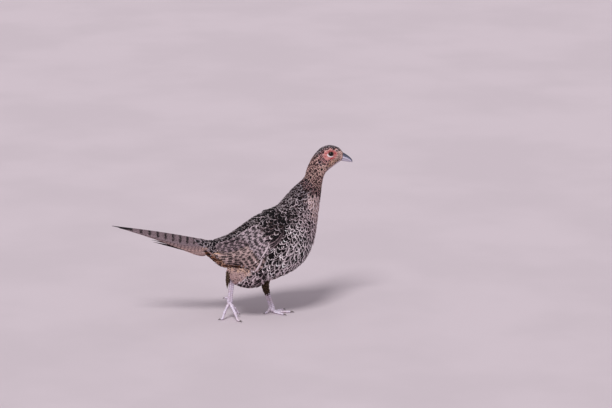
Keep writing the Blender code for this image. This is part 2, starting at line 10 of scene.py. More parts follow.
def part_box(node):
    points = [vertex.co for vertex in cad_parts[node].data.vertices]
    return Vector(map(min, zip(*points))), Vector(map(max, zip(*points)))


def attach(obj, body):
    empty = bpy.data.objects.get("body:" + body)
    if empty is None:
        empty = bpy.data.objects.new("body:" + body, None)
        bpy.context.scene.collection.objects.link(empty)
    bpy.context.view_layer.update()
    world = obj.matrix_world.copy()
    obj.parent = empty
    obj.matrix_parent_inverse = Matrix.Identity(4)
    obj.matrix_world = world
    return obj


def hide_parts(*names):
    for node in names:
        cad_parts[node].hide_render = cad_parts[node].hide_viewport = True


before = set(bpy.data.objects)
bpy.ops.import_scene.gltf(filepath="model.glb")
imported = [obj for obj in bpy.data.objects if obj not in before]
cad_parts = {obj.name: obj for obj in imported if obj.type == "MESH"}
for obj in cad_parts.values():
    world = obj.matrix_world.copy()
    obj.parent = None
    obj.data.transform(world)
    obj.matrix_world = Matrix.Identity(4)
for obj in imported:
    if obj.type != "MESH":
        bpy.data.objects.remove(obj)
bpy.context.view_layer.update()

# A walking hen pheasant. Places and sizes are in millimetres, as in the source of the solids,
# and become metres when a mesh is made. +X is forward, +Y the left side, +Z up.
mm = 0.001
standAt = np.array([-0.95, 0.0, 0.0])   # the source's shift of the whole bird

# Colours by name, as 0 to 255 values of a screen colour
tones = {
    "ink": (9, 6, 10),
    "soot": (22, 15, 20),
    "plumBlack": (40, 28, 34),
    "umber": (74, 54, 52),
    "bark": (96, 78, 82),
    "olive": (92, 74, 56),
    "taupe": (124, 104, 110),
    "mauve": (152, 130, 137),
    "ash": (164, 151, 160),
    "dove": (186, 166, 174),
    "sand": (196, 168, 166),
    "roseBuff": (182, 150, 146),
    "fawn": (206, 168, 142),
    "pinkSand": (214, 180, 170),
    "blush": (228, 186, 176),
    "mist": (196, 182, 188),
    "pale": (212, 194, 200),
    "ivory": (238, 224, 228),
    "rust": (112, 70, 44),
    "cinnamon": (156, 112, 88),
    "duskyRose": (142, 106, 106),
    "brickRed": (168, 40, 44),
    "rosePink": (212, 122, 122),
}


def tone(name):
    value = np.array(tones[name]) / 255.0
    return np.where(value <= 0.04045, value / 12.92, ((value + 0.055) / 1.055) ** 2.4)


# Smooth curves through rows of numbers, and the surfaces that the coat lies on

def between(rows, t):
    last = len(rows) - 1
    inside = np.clip(t, 0, last)
    i = np.minimum(inside.astype(int), last - 1)
    u = (inside - i)[..., None]
    p0, p1 = rows[np.maximum(i - 1, 0)], rows[i]
    p2, p3 = rows[i + 1], rows[np.minimum(i + 2, last)]
    found = 0.5 * (2 * p1 + (p2 - p0) * u + (2 * p0 - 5 * p1 + 4 * p2 - p3) * u * u
                   + (3 * p1 - p0 - 3 * p2 + p3) * u ** 3)
    past = (t - inside)[..., None]      # straight on past either end
    return found + np.where(past < 0, rows[1] - rows[0], rows[-1] - rows[-2]) * past * 0.5


def signedPower(value, power):
    return np.sign(value) * np.abs(value) ** power


def unit(v):
    return v / np.maximum(np.linalg.norm(v, axis=-1, keepdims=True), 1e-9)


def smooth(x, low, high):
    s = np.clip((x - low) / (high - low), 0, 1)
    return s * s * (3 - 2 * s)


# Body outline from the side: back x, back z, belly x, belly z, half width, tail root to bill
bodyRungs = np.array((
    (-96, 166.5, -90, 150, 6),
    (-62, 161, -54, 130, 16),
    (-36, 157, -24, 106, 30),
    (-1, 167.5, 11, 99, 42),
    (31, 188.5, 50, 72, 52),
    (63, 207, 104, 84, 56),
    (88, 218.5, 139, 108, 53),
    (105, 236, 158, 142, 44),
    (120, 252.5, 166, 180, 35),
    (134, 264.5, 170.5, 213, 27.5),
    (143.5, 275, 174.5, 243, 21.5),
    (147.5, 290, 177.5, 264, 18),
    (154.5, 305.5, 182.5, 279.5, 16.5),
    (163, 319, 189, 286.5, 16),
    (176, 331, 195.5, 291.2, 15.8),
    (188.5, 335.4, 200.5, 295, 15),
    (201.5, 334, 206, 298.8, 13.2),
    (211.6, 329, 211, 301.8, 10.6),
    (218.4, 321.5, 215.5, 304.2, 7.6),
), float)
bellyShare = 0.47        # height of the widest line, as a share of the rung
squareness = 2.15        # superellipse power of the section
headEnd = len(bodyRungs) - 1


def bodyPoint(t, a):
    # a is 0 on the left side, a quarter turn on the back
    row = between(bodyRungs, t)
    back, belly = row[..., 0:2], row[..., 2:4]
    middle = belly + (back - belly) * bellyShare
    across = signedPower(np.cos(a), 2 / squareness) * np.maximum(row[..., 4], 0.4)
    rise = np.abs(np.sin(a)) ** (2 / squareness)
    edge = np.where((np.sin(a) > 0)[..., None], back, belly)
    xz = middle + (edge - middle) * rise[..., None]
    return np.stack((xz[..., 0], across, xz[..., 1]), axis=-1)


def limbSurface(table):
    rows = np.array(table, float)

    def point(t, a):
        here = between(rows, t)
        along = unit(between(rows, t + 0.1)[..., :3] - between(rows, t - 0.1)[..., :3])
        side = np.array([0.0, 1.0, 0.0]) - along * along[..., 1:2]
        side = unit(side)
        other = np.cross(along, side)
        return (here[..., :3] + side * (here[..., 3] * np.cos(a))[..., None]
                + other * (here[..., 4] * np.sin(a))[..., None])
    return point


def frameAt(surface, t, a, outward=1):
    stepT, stepA = 0.02, 0.02
    byT = (surface(t + stepT, a) - surface(t - stepT, a)) / (2 * stepT)
    byA = (surface(t, a + stepA) - surface(t, a - stepA)) / (2 * stepA)
    return surface(t, a), unit(np.cross(byA, byT)) * outward, byT, byA


def elevation(a):
    return np.degrees(np.arcsin(np.clip(np.sin(a), -1, 1)))    # 90 back, 0 side, -90 belly


# Meshes

def meshPiece(name, points, loops, sizes, finish=None, smoothAngle=50):
    mesh = bpy.data.meshes.new(name)
    mesh.vertices.add(len(points))
    mesh.vertices.foreach_set("co", ((points + standAt) * mm).astype(np.float32).ravel())
    mesh.loops.add(len(loops))
    mesh.loops.foreach_set("vertex_index", loops.astype(np.int32))
    mesh.polygons.add(len(sizes))
    starts = np.concatenate(([0], np.cumsum(sizes)[:-1]))
    mesh.polygons.foreach_set("loop_start", starts.astype(np.int32))
    mesh.update(calc_edges=True)
    mesh.shade_smooth()
    if smoothAngle:
        mesh.set_sharp_from_angle(angle=math.radians(smoothAngle))
    if finish:
        mesh.materials.append(finish)
    piece = bpy.data.objects.new(name, mesh)
    bpy.context.scene.collection.objects.link(piece)
    return piece


def tubeFaces(many, rows, columns):
    # faces of closed tubes, rows rings of columns points each, with both ends capped
    r, c = np.meshgrid(np.arange(rows - 1), np.arange(columns), indexing="ij")
    nextC = (c + 1) % columns
    quads = np.stack((r * columns + c, r * columns + nextC,
                      (r + 1) * columns + nextC, (r + 1) * columns + c), axis=-1).reshape(-1)
    firstCap = np.arange(columns)[::-1]
    lastCap = (rows - 1) * columns + np.arange(columns)
    one = np.concatenate((quads, firstCap, lastCap))
    oneSizes = np.concatenate((np.full(len(quads) // 4, 4), [columns, columns]))
    loops = (one[None, :] + (np.arange(many) * rows * columns)[:, None]).ravel()
    return loops, np.tile(oneSizes, many)


def flipped(loops, sizes):
    ends = np.cumsum(sizes)
    starts = ends - sizes
    owner = np.repeat(np.arange(len(sizes)), sizes)
    place = np.arange(len(loops)) - starts[owner]
    return loops[ends[owner] - 1 - place]


def tubePiece(name, rings, finish=None, smoothAngle=50):
    # one closed tube through rings of points, turned so that its faces look out
    rows, columns = rings.shape[:2]
    loops, sizes = tubeFaces(1, rows, columns)
    points = rings.reshape(-1, 3)
    quads = loops[: (rows - 1) * columns * 4].reshape(-1, 4)
    corner = points[quads]
    centre = points.mean(axis=0)
    flow = np.einsum("ij,ij->i", np.cross(corner[:, 1] - corner[:, 0], corner[:, 2] - corner[:, 0]),
                     corner[:, 0] - centre).sum()
    if flow < 0:
        loops = flipped(loops, sizes)
    return meshPiece(name, points, loops, sizes, finish, smoothAngle)


def addPointValues(piece, name, values):
    kind = "FLOAT_VECTOR" if values.ndim == 2 else "FLOAT"
    slot = piece.data.attributes.new(name, kind, "POINT")
    slot.data.foreach_set("vector" if values.ndim == 2 else "value", values.astype(np.float32).ravel())


def addPlaces(piece, name, uv):
    layer = piece.data.uv_layers.new(name=name, do_init=False)
    layer.data.foreach_set("uv", uv.astype(np.float32).ravel())


def combine(target, pieces, operation):
    group = bpy.data.collections.new(target.name + "Cut")
    for piece in pieces:
        for home in list(piece.users_collection):
            home.objects.unlink(piece)
        group.objects.link(piece)
    change = target.modifiers.new("combine", "BOOLEAN")
    change.operand_type = "COLLECTION"
    change.collection = group
    change.operation = operation
    change.solver = "MANIFOLD"
    bpy.context.view_layer.update()
    graph = bpy.context.evaluated_depsgraph_get()
    made = bpy.data.meshes.new_from_object(target.evaluated_get(graph))
    target.modifiers.clear()
    target.data = made
    for piece in pieces:
        bpy.data.objects.remove(piece, do_unlink=True)
    bpy.data.collections.remove(group)


def pointsOf(piece):
    flat = np.zeros(len(piece.data.vertices) * 3, np.float32)
    piece.data.vertices.foreach_get("co", flat)
    return flat.reshape(-1, 3).astype(float) / mm - standAt


# Materials, from short helpers for nodes

def newFinish(name, roughness, sheen=0.0, coat=0.0, specular=0.5):
    finish = bpy.data.materials.new(name)
    finish.use_nodes = True
    shader = finish.node_tree.nodes["Principled BSDF"]
    shader.inputs["Roughness"].default_value = roughness
    shader.inputs["Specular IOR Level"].default_value = specular
    shader.inputs["Sheen Weight"].default_value = sheen
    shader.inputs["Sheen Roughness"].default_value = 0.45
    shader.inputs["Coat Weight"].default_value = coat
    shader.inputs["Coat Roughness"].default_value = 0.04
    return finish, finish.node_tree, shader


def feed(tree, socket, value):
    if isinstance(value, bpy.types.NodeSocket):
        tree.links.new(value, socket)
    elif value is not None:
        socket.default_value = value


def math2(tree, operation, a, b=None, clamp=False):
    made = tree.nodes.new("ShaderNodeMath")
    made.operation = operation
    made.use_clamp = clamp
    feed(tree, made.inputs[0], a)
    feed(tree, made.inputs[1], b)
    return made.outputs[0]


def ramp(tree, value, low, high, toLow=0.0, toHigh=1.0):
    made = tree.nodes.new("ShaderNodeMapRange")
    made.interpolation_type = "SMOOTHSTEP"
    for k, given in enumerate((value, low, high, toLow, toHigh)):
        feed(tree, made.inputs[k], given)
    return made.outputs[0]


def blend(tree, share, a, b, kind="MIX"):
    made = tree.nodes.new("ShaderNodeMix")
    made.data_type = "RGBA"
    made.blend_type = kind
    feed(tree, made.inputs[0], share)
    feed(tree, made.inputs[6], a)
    feed(tree, made.inputs[7], b)
    return made.outputs[2]


def attribute(tree, name, output="Color"):
    made = tree.nodes.new("ShaderNodeAttribute")
    made.attribute_name = name
    return made.outputs[output]


def parts(tree, vector):
    made = tree.nodes.new("ShaderNodeSeparateXYZ")
    feed(tree, made.inputs[0], vector)
    return made.outputs


def grainOf(tree, scale, detail=2.0, roughness=0.5, stretch=None):
    place = tree.nodes.new("ShaderNodeTexCoord").outputs["Object"]
    if stretch:
        turn = tree.nodes.new("ShaderNodeMapping")
        turn.inputs["Scale"].default_value = stretch
        feed(tree, turn.inputs["Vector"], place)
        place = turn.outputs[0]
    made = tree.nodes.new("ShaderNodeTexNoise")
    made.inputs["Scale"].default_value = scale
    made.inputs["Detail"].default_value = detail
    made.inputs["Roughness"].default_value = roughness
    feed(tree, made.inputs["Vector"], place)
    return made.outputs["Fac"]


def cellsOf(tree, scale, feature="F1"):
    made = tree.nodes.new("ShaderNodeTexVoronoi")
    made.feature = feature
    made.inputs["Scale"].default_value = scale
    feed(tree, made.inputs["Vector"], tree.nodes.new("ShaderNodeTexCoord").outputs["Object"])
    return made.outputs["Distance"]


def bumpOf(tree, shader, height, strength, distance, under=None):
    made = tree.nodes.new("ShaderNodeBump")
    made.inputs["Strength"].default_value = strength
    made.inputs["Distance"].default_value = distance
    feed(tree, made.inputs["Height"], height)
    if under:
        feed(tree, made.inputs["Normal"], under)
    feed(tree, shader.inputs["Normal"], made.outputs[0])
    return made.outputs[0]


plumageFinish = {
    "roughness": 0.7,
    "wobble": 0.42,        # how ragged the edges of the marks are
    "wobbleScale": 560,    # per metre
    "fray": 0.34,          # how far the marks run out along single barbs
    "mottleScale": 950,
    "barbLean": 0.3,       # how far forward a barb's end lies, as a share of the vane
    "barbDepth": 0.00012,
}


def plumageMaterial(name, barbs=34, paintedRootShade=0.75):
    # Reads each feather's own colours and marks from its points, and its u and v from the map vane
    p = plumageFinish
    finish, tree, shader = newFinish(name, p["roughness"], 0.02, specular=0.1)
    place = tree.nodes.new("ShaderNodeUVMap")
    place.uv_map = "vane"
    u, v, _ = parts(tree, place.outputs[0])
    skew = attribute(tree, "skew", "Fac")
    middle = math2(tree, "SUBTRACT", math2(tree, "MULTIPLY", u, 2.0), 1.0)
    across = math2(tree, "ABSOLUTE", middle)
    aside = math2(tree, "ABSOLUTE", math2(tree, "ADD", middle, skew))
    ground, mark, fringe = (attribute(tree, key) for key in ("ground", "mark", "fringe"))
    halfWidth, start, end = parts(tree, attribute(tree, "spot", "Vector"))
    mottle, bars, edge = parts(tree, attribute(tree, "grain", "Vector"))
    barLow, barReach, patchy = parts(tree, attribute(tree, "dash", "Vector"))

    # barbs: fine lines that slant forward from the shaft
    barbPlace = math2(tree, "MULTIPLY", math2(tree, "SUBTRACT", v, math2(
        tree, "MULTIPLY", across, p["barbLean"])), barbs)
    where = tree.nodes.new("ShaderNodeCombineXYZ")
    for k, value in enumerate((barbPlace, math2(tree, "MULTIPLY", middle, 0.8), math2(tree, "MULTIPLY", skew, 61.0))):
        feed(tree, where.inputs[k], value)
    lines = tree.nodes.new("ShaderNodeTexNoise")
    lines.inputs["Scale"].default_value = 1.0
    lines.inputs["Detail"].default_value = 3.0
    feed(tree, lines.inputs["Vector"], where.outputs[0])
    barb = lines.outputs["Fac"]
    lump = math2(tree, "MULTIPLY", math2(tree, "SUBTRACT", grainOf(tree, p["wobbleScale"], 3.0), 0.5), p["wobble"])
    fray = math2(tree, "MULTIPLY", math2(tree, "SUBTRACT", barb, 0.5), p["fray"])
    wobble = math2(tree, "ADD", lump, fray)
    fine = grainOf(tree, p["mottleScale"], 3.0, 0.6)
    longV = math2(tree, "ADD", v, math2(tree, "MULTIPLY", wobble, 0.45))

    # pale margin, wider along the sides than at the tip
    rim = math2(tree, "MAXIMUM", math2(tree, "ADD", math2(tree, "ADD", aside, wobble), edge),
                math2(tree, "ADD", longV, math2(tree, "MULTIPLY", edge, 0.6)))
    colour = blend(tree, ramp(tree, rim, 0.9, 1.06), ground, fringe)
    # fine mottling
    speck = ramp(tree, math2(tree, "ADD", fine, mottle), 0.62, 0.86, 0.0, 0.8)
    colour = blend(tree, speck, colour, mark)
    # cross bars and blotches, out of step from feather to feather and from side to side
    phase = math2(tree, "MULTIPLY", skew, math2(tree, "ADD", math2(tree, "MULTIPLY", math2(
        tree, "SIGN", middle), 9.0), 31.0))
    wave = math2(tree, "SINE", math2(tree, "ADD", phase, math2(tree, "MULTIPLY", math2(
        tree, "ADD", v, math2(tree, "MULTIPLY", wobble, 0.12)), math2(tree, "MULTIPLY", bars, 2 * math.pi))))
    barred = math2(tree, "MULTIPLY", ramp(tree, math2(tree, "ADD", wave, math2(tree, "MULTIPLY", wobble, 1.4)),
                                          barLow, math2(tree, "ADD", barLow, 0.2), 0.0, 0.92),
                   math2(tree, "MULTIPLY", bars, 1.0, clamp=True))
    barred = math2(tree, "MULTIPLY", barred, ramp(
        tree, math2(tree, "SUBTRACT", math2(tree, "ADD", aside, wobble), barReach), -0.2, 0.1, 1.0, 0.0))
    holes = math2(tree, "MULTIPLY", ramp(tree, lump, -0.04, 0.04), patchy)
    barred = math2(tree, "MULTIPLY", barred, math2(tree, "SUBTRACT", 1.0, holes))
    colour = blend(tree, barred, colour, mark)
    # dark mark of the middle, rounded at both ends
    mid = math2(tree, "MULTIPLY", math2(tree, "ADD", start, end), 0.5)
    half = math2(tree, "MAXIMUM", math2(tree, "SUBTRACT", end, mid), 0.01)
    far = math2(tree, "POWER", math2(tree, "ABSOLUTE", math2(tree, "DIVIDE", math2(
        tree, "SUBTRACT", longV, mid), half)), 3.0)
    wide = math2(tree, "DIVIDE", math2(tree, "ADD", aside, wobble), math2(tree, "MAXIMUM", halfWidth, 0.01))
    oval = math2(tree, "ADD", far, math2(tree, "MULTIPLY", wide, math2(tree, "ABSOLUTE", wide)))
    worn = blend(tree, ramp(tree, lump, 0.02, 0.14, 0.0, 0.3), mark, ground)
    colour = blend(tree, ramp(tree, oval, 0.8, 1.2, 1.0, 0.0), colour, worn)
    # the shaft, and a darker root where the next feather lies over it, painted shade
    colour = blend(tree, ramp(tree, across, 0.025, 0.07, 0.2, 0.0), colour, ground)
    if paintedRootShade:
        colour = blend(tree, ramp(tree, v, 0.15, 0.55, paintedRootShade, 0.0), colour, mark)
    shade = tree.nodes.new("ShaderNodeCombineColor")
    for k in range(3):
        feed(tree, shade.inputs[k], ramp(tree, barb, 0.3, 0.7, 0.74, 1.2))
    colour = blend(tree, 1.0, colour, shade.outputs[0], "MULTIPLY")
    feed(tree, shader.inputs["Base Color"], colour)
    height = math2(tree, "ADD", math2(tree, "MULTIPLY", barb, 3.0), fine)
    bumpOf(tree, shader, height, 0.5, p["barbDepth"])
    feed(tree, shader.inputs["Roughness"], math2(tree, "ADD", math2(tree, "MULTIPLY", barb, 0.3),
                                                 p["roughness"] - 0.15))
    return finish


# Regions of the coat. Each says where it is (rung, degrees of elevation) and how far it reaches,
# how far apart its feathers are in mm, their length and width as shares of that, their colours,
# the dark spot (half width, start, end along the feather), mottling, bars, width of the margin,
# how far they turn down from straight back, and how high their tips stand.
plumageRegions = {
    "upperTailCoverts": dict(at=(0.6, 50), reach=(1.3, 55), gap=6.8, long=3.0, wide=1.35, ground="ash",
                             mark="ink", fringe="taupe", spot=(0.68, 0.25, 0.88), mottle=0.16, bars=0,
                             edge=0.08, tilt=0, lift=0.6),
    "tailSide": dict(at=(0.6, -8), reach=(1.0, 24), gap=7, long=3.0, wide=1.35, ground="roseBuff",
                     mark="plumBlack", fringe="pinkSand", spot=(0.4, 0.3, 0.75), mottle=0.18, bars=0,
                     edge=0.12, tilt=0, lift=0.6),
    "underTail": dict(at=(1.2, -66), reach=(1.8, 42), gap=8, long=2.8, wide=1.4, ground="rust",
                      mark="soot", fringe="cinnamon", spot=(0.6, 0.3, 0.85), mottle=0.16, bars=0,
                      edge=0.1, tilt=0, lift=0.9),
    "rump": dict(at=(2.7, 60), reach=(1.1, 55), gap=7.4, long=2.8, wide=1.35, ground="bark",
                 mark="ink", fringe="mist", spot=(0.8, 0.25, 0.95), mottle=0.1, bars=0,
                 edge=0.05, tilt=4, lift=0.7),
    "back": dict(at=(4.7, 78), reach=(1.4, 28), gap=7.4, long=2.7, wide=1.35, ground="umber",
                 mark="ink", fringe="mist", spot=(0.88, 0.15, 0.97), mottle=0.08, bars=0,
                 edge=0.05, tilt=12, lift=1.0),
    "scapular": dict(at=(6.0, 48), reach=(0.8, 16), gap=8, long=2.7, wide=1.45, ground="umber",
                     mark="ink", fringe="ash", spot=(0.9, 0.1, 1.0), mottle=0.05, bars=0,
                     edge=0.02, tilt=14, lift=1.5),
    "mantle": dict(at=(7.3, 60), reach=(1.1, 48), gap=5.7, long=2.7, wide=1.4, ground="bark",
                   mark="ink", fringe="mist", spot=(0.7, 0.3, 0.93), mottle=0.06, bars=0,
                   edge=0.06, tilt=4, lift=0.6),
    "wingShoulder": dict(at=(5.6, 24), reach=(0.8, 20), gap=7.8, long=2.6, wide=1.4, ground="bark",
                         mark="ink", fringe="ivory", spot=(0.72, 0.3, 0.95), mottle=0.06, bars=0,
                         edge=0.09, tilt=30, lift=1.2),
    # painted shadow: near-black feathers along the wing's front lower edge
    "wingFrontShadow": dict(at=(4.8, 12), reach=(0.4, 24), gap=8.5, long=2.6, wide=1.4, ground="umber",
                      mark="ink", fringe="ivory", spot=(0.85, 0.15, 0.98), mottle=0.04, bars=0,
                      edge=0.08, tilt=40, lift=1.6),
    "breastSide": dict(at=(6.5, 0), reach=(0.8, 20), gap=6.7, long=2.5, wide=1.4, ground="mist",
                       mark="ink", fringe="ivory", spot=(0.6, 0.4, 0.93), mottle=0.03, bars=0,
                       edge=0.12, tilt=8, lift=0.8),
    "upperBreast": dict(at=(7.9, -12), reach=(0.9, 34), gap=6.0, long=2.5, wide=1.4, ground="mauve",
                        mark="ink", fringe="pale", spot=(0.56, 0.4, 0.93), mottle=0.05, bars=0,
                        edge=0.12, tilt=0, lift=0.6),
    "breast": dict(at=(6.1, -38), reach=(1.1, 30), gap=7.2, long=2.5, wide=1.4, ground="mist",
                   mark="ink", fringe="ivory", spot=(0.58, 0.38, 0.93), mottle=0.03, bars=0,
                   edge=0.15, tilt=10, lift=0.8),
    # breastEdge: a darker band along the breast's lower edge, painted shade
    "breastEdge": dict(at=(5.6, -86), reach=(1.2, 10), gap=8, long=2.5, wide=1.4, ground="taupe",
                       mark="ink", fringe="mist", spot=(0.5, 0.4, 0.9), mottle=0.1, bars=0,
                       edge=0.08, tilt=0, lift=0.8),
    "flank": dict(at=(4.7, -22), reach=(0.9, 26), gap=7.9, long=2.6, wide=1.35, ground="mist",
                  mark="ink", fringe="ivory", spot=(0.56, 0.32, 0.92), mottle=0.08, bars=0,
                  edge=0.15, tilt=38, lift=2.0),
    # belly: the dark olive underside, painted shade under the body
    "belly": dict(at=(4.2, -80), reach=(1.4, 24), gap=8.5, long=2.6, wide=1.4, ground="olive",
                  mark="plumBlack", fringe="mauve", spot=(0.5, 0.4, 0.86), mottle=0.16, bars=0,
                  edge=0.08, tilt=0, lift=0.9),
    "vent": dict(at=(2.8, -44), reach=(0.8, 34), gap=7.5, long=2.8, wide=1.4, ground="cinnamon",
                 mark="umber", fringe="fawn", spot=(0.45, 0.35, 0.85), mottle=0.14, bars=0,
                 edge=0.12, tilt=16, lift=1.2),
    "collarBack": dict(at=(8.9, 55), reach=(0.7, 36), gap=5.0, long=2.7, wide=1.35, ground="umber",
                       mark="ink", fringe="ash", spot=(0.66, 0.3, 0.93), mottle=0.1, bars=0,
                       edge=0.08, tilt=0, lift=0.5),
    "collar": dict(at=(10.2, 0), reach=(0.5, 90), gap=4.6, long=2.8, wide=1.35, ground="taupe",
                   mark="ink", fringe="duskyRose", spot=(0.72, 0.28, 0.93), mottle=0.1, bars=0,
                   edge=0.12, tilt=0, lift=0.4),
    # neckBaseFront: the neck's pale front, its own pale colour lightened further as painted light
    "neckBaseFront": dict(at=(9.15, -32), reach=(1.05, 42), gap=5.8, long=2.6, wide=1.4, ground="sand",
                          mark="soot", fringe="pale", spot=(0.28, 0.42, 0.88), mottle=0.04, bars=0,
                          edge=0.14, tilt=0, lift=0.5),
    "upperNeck": dict(at=(11.3, 0), reach=(0.9, 90), gap=4.1, long=2.9, wide=1.3, ground="duskyRose",
                      mark="ink", fringe="pinkSand", spot=(0.62, 0.28, 0.92), mottle=0.06, bars=0,
                      edge=0.08, tilt=0, lift=0.25),
    "nape": dict(at=(12.7, 60), reach=(0.9, 42), gap=3.9, long=2.9, wide=1.3, ground="duskyRose",
                 mark="ink", fringe="blush", spot=(0.62, 0.25, 0.9), mottle=0.08, bars=0,
                 edge=0.08, tilt=0, lift=0.2),
    "earCoverts": dict(at=(13.8, 14), reach=(0.8, 20), gap=3.7, long=2.9, wide=1.3, ground="mauve",
                       mark="soot", fringe="blush", spot=(0.6, 0.25, 0.88), mottle=0.1, bars=0,
                       edge=0.08, tilt=-6, lift=0.12),
    "cheek": dict(at=(13.2, -24), reach=(1.0, 26), gap=3.8, long=2.8, wide=1.35, ground="pinkSand",
                  mark="soot", fringe="blush", spot=(0.46, 0.45, 0.9), mottle=0.05, bars=0,
                  edge=0.14, tilt=-8, lift=0.15),
    "malar": dict(at=(15.4, -38), reach=(1.2, 16), gap=2.9, long=2.8, wide=1.35, ground="fawn",
                  mark="soot", fringe="blush", spot=(0.55, 0.35, 0.86), mottle=0.08, bars=0,
                  edge=0.1, tilt=-8, lift=0.1),
    "crown": dict(at=(15.3, 78), reach=(2.6, 34), gap=3.4, long=2.9, wide=1.3, ground="bark",
                  mark="ink", fringe="mist", spot=(0.66, 0.2, 0.9), mottle=0.1, bars=0,
                  edge=0.08, tilt=0, lift=0.25),
    "brow": dict(at=(15.4, 39), reach=(1.9, 7), gap=1.9, long=2.8, wide=1.35, ground="blush",
                 mark="mauve", fringe="blush", spot=(0.3, 0.4, 0.8), mottle=0.05, bars=0,
                 edge=0.1, tilt=0, lift=0.06),
    "lore": dict(at=(16.8, 12), reach=(1.0, 24), gap=2.2, long=2.8, wide=1.35, ground="pinkSand",
                 mark="plumBlack", fringe="blush", spot=(0.42, 0.4, 0.85), mottle=0.08, bars=0,
                 edge=0.1, tilt=0, lift=0.05),
    "billBase": dict(at=(17.75, 0), reach=(0.35, 70), gap=1.25, long=2.5, wide=1.4, ground="blush",
                     mark="umber", fringe="pinkSand", spot=(0.3, 0.5, 0.8), mottle=0.08, bars=0,
                     edge=0.1, tilt=0, lift=0.05),
    "chin": dict(at=(16.0, -74), reach=(2.2, 28), gap=2.3, long=2.7, wide=1.4, ground="mist",
                 mark="mauve", fringe="pale", spot=(0.3, 0.4, 0.8), mottle=0.04, bars=0,
                 edge=0.1, tilt=0, lift=0.1),
}
regionSharpness = 5.0


def plumageAt(t, e):
    # the look of the coat at each place, blended between the regions
    regions = list(plumageRegions.values())
    far = np.stack([((t - r["at"][0]) / r["reach"][0]) ** 2 + ((e - r["at"][1]) / r["reach"][1]) ** 2
                    for r in regions])
    weight = np.exp(-regionSharpness * (far - far.min(axis=0)))
    weight /= weight.sum(axis=0)
    look = {}
    for key, sample in regions[0].items():
        if key in ("at", "reach"):
            continue
        values = np.array([tone(r[key]) if isinstance(sample, str) else r[key] for r in regions], float)
        look[key] = np.tensordot(weight.T, values, axes=(-1, 0))
    return look


# Folded wing on the body's side: rung, lower and upper edge in degrees, how proud it stands
wingEdges = np.array((
    (2.5, -4, 34, 1.0),
    (3.0, -10, 48, 1.2),
    (3.5, -8, 58, 1.4),
    (4.0, 4, 62, 1.8),
    (4.6, 18, 64, 2.6),
    (5.3, 26, 64, 3.2),
    (6.1, 34, 60, 2.4),
    (6.5, 44, 54, 0.4),
), float)


def wingPlace(t, e):
    # how far inside the wing a place is (1 in its middle line, 0 at an edge, less outside), and its height
    low, top, proud = (np.interp(t, wingEdges[:, 0], wingEdges[:, k]) for k in (1, 2, 3))
    q = np.abs(e - (low + top) / 2) / ((top - low) / 2)
    within = np.minimum(1 - q, np.minimum(t - wingEdges[0, 0], wingEdges[-1, 0] - t) * 1.5)
    return within, proud * smooth(1.3 - q, 0.0, 0.7) * smooth(t, 2.2, 3.0) * smooth(-t, -7.0, -6.2)


# Vanes

vaneShape = {
    "rootWidth": 0.4,        # share of the full width at the root
    "widest": 0.6,           # where along the vane it is widest
    "tipWidth": 0.16,
    "ragged": 0.07,          # unevenness of the margin, as a share of the width
}


def vaneWidth(along, pointed=0.0):
    s = vaneShape
    rising = s["rootWidth"] + (1 - s["rootWidth"]) * np.sin(np.pi / 2 * np.clip(along / s["widest"], 0, 1))
    past = np.clip((along - s["widest"]) / (1 - s["widest"]), 0, 1)
    falling = np.sqrt(np.maximum(1 - past ** 2, 0)) * (1 - pointed) + (1 - past) * pointed
    return np.maximum(np.where(along < s["widest"], rising, falling), s["tipWidth"])


bakePatch = 0.003        # width of a small feather in the bake's map


def layVanes(surface, v, rows, columns, rng, outward=1, pointed=0.0):
    # Rings of points for closed vanes that lie along a surface. v holds one value a vane for t, a,
    # dt, da, width, rootHeight, tipHeight, camber and lean.
    along = 1 - (1 - np.linspace(0, 1, rows)) ** 1.25
    across = np.linspace(-1, 1, columns)
    t = v["t"][:, None] + v["dt"][:, None] * along
    a = v["a"][:, None] + v["da"][:, None] * along
    _, normal, byT, byA = frameAt(surface, t, a, outward)
    run = byT * v["dt"][:, None, None] + byA * v["da"][:, None, None]
    side = unit(np.cross(normal, run))
    taper = vaneWidth(along, pointed)
    reach = across[None, None, :] * (v["width"] / 2)[:, None, None] * taper[None, :, None]
    rag = 1 + rng.normal(0, vaneShape["ragged"], reach.shape) * (np.abs(across) > 0.9)
    rag *= np.where(along > 0.35, 1.0, 0.0)[None, :, None] + np.where(along > 0.35, 0.0, 1.0)[None, :, None]
    reach = reach * rag
    tt, ta, aa = (np.einsum("...i,...i->...", p, q) for p, q in ((byT, byT), (byT, byA), (byA, byA)))
    level = np.maximum(tt * aa - ta * ta, 1e-6)
    d = np.einsum("...i,...i->...", side, byT)
    e = np.einsum("...i,...i->...", side, byA)
    spotT = t[..., None] + ((d * aa - e * ta) / level)[..., None] * reach
    spotA = a[..., None] + ((e * tt - d * ta) / level)[..., None] * reach
    here, up, _, _ = frameAt(surface, spotT, spotA, outward)
    rise = along[None, :] ** 1.2
    base = v["rootHeight"][:, None] * (1 - rise) + v["tipHeight"][:, None] * rise
    dip = v["camber"][:, None, None] * (across ** 2)[None, None, :] * taper[None, :, None]
    height = base[..., None] - dip + v["lean"][:, None, None] * reach
    top = here + up * height[..., None]
    middle = columns // 2
    under = here[:, :, middle] + up[:, :, middle] * (height[:, :, middle] - v["camber"][:, None] * 0.8
                                                      - 0.12)[..., None]
    return np.concatenate((top, under[:, :, None, :]), axis=2)


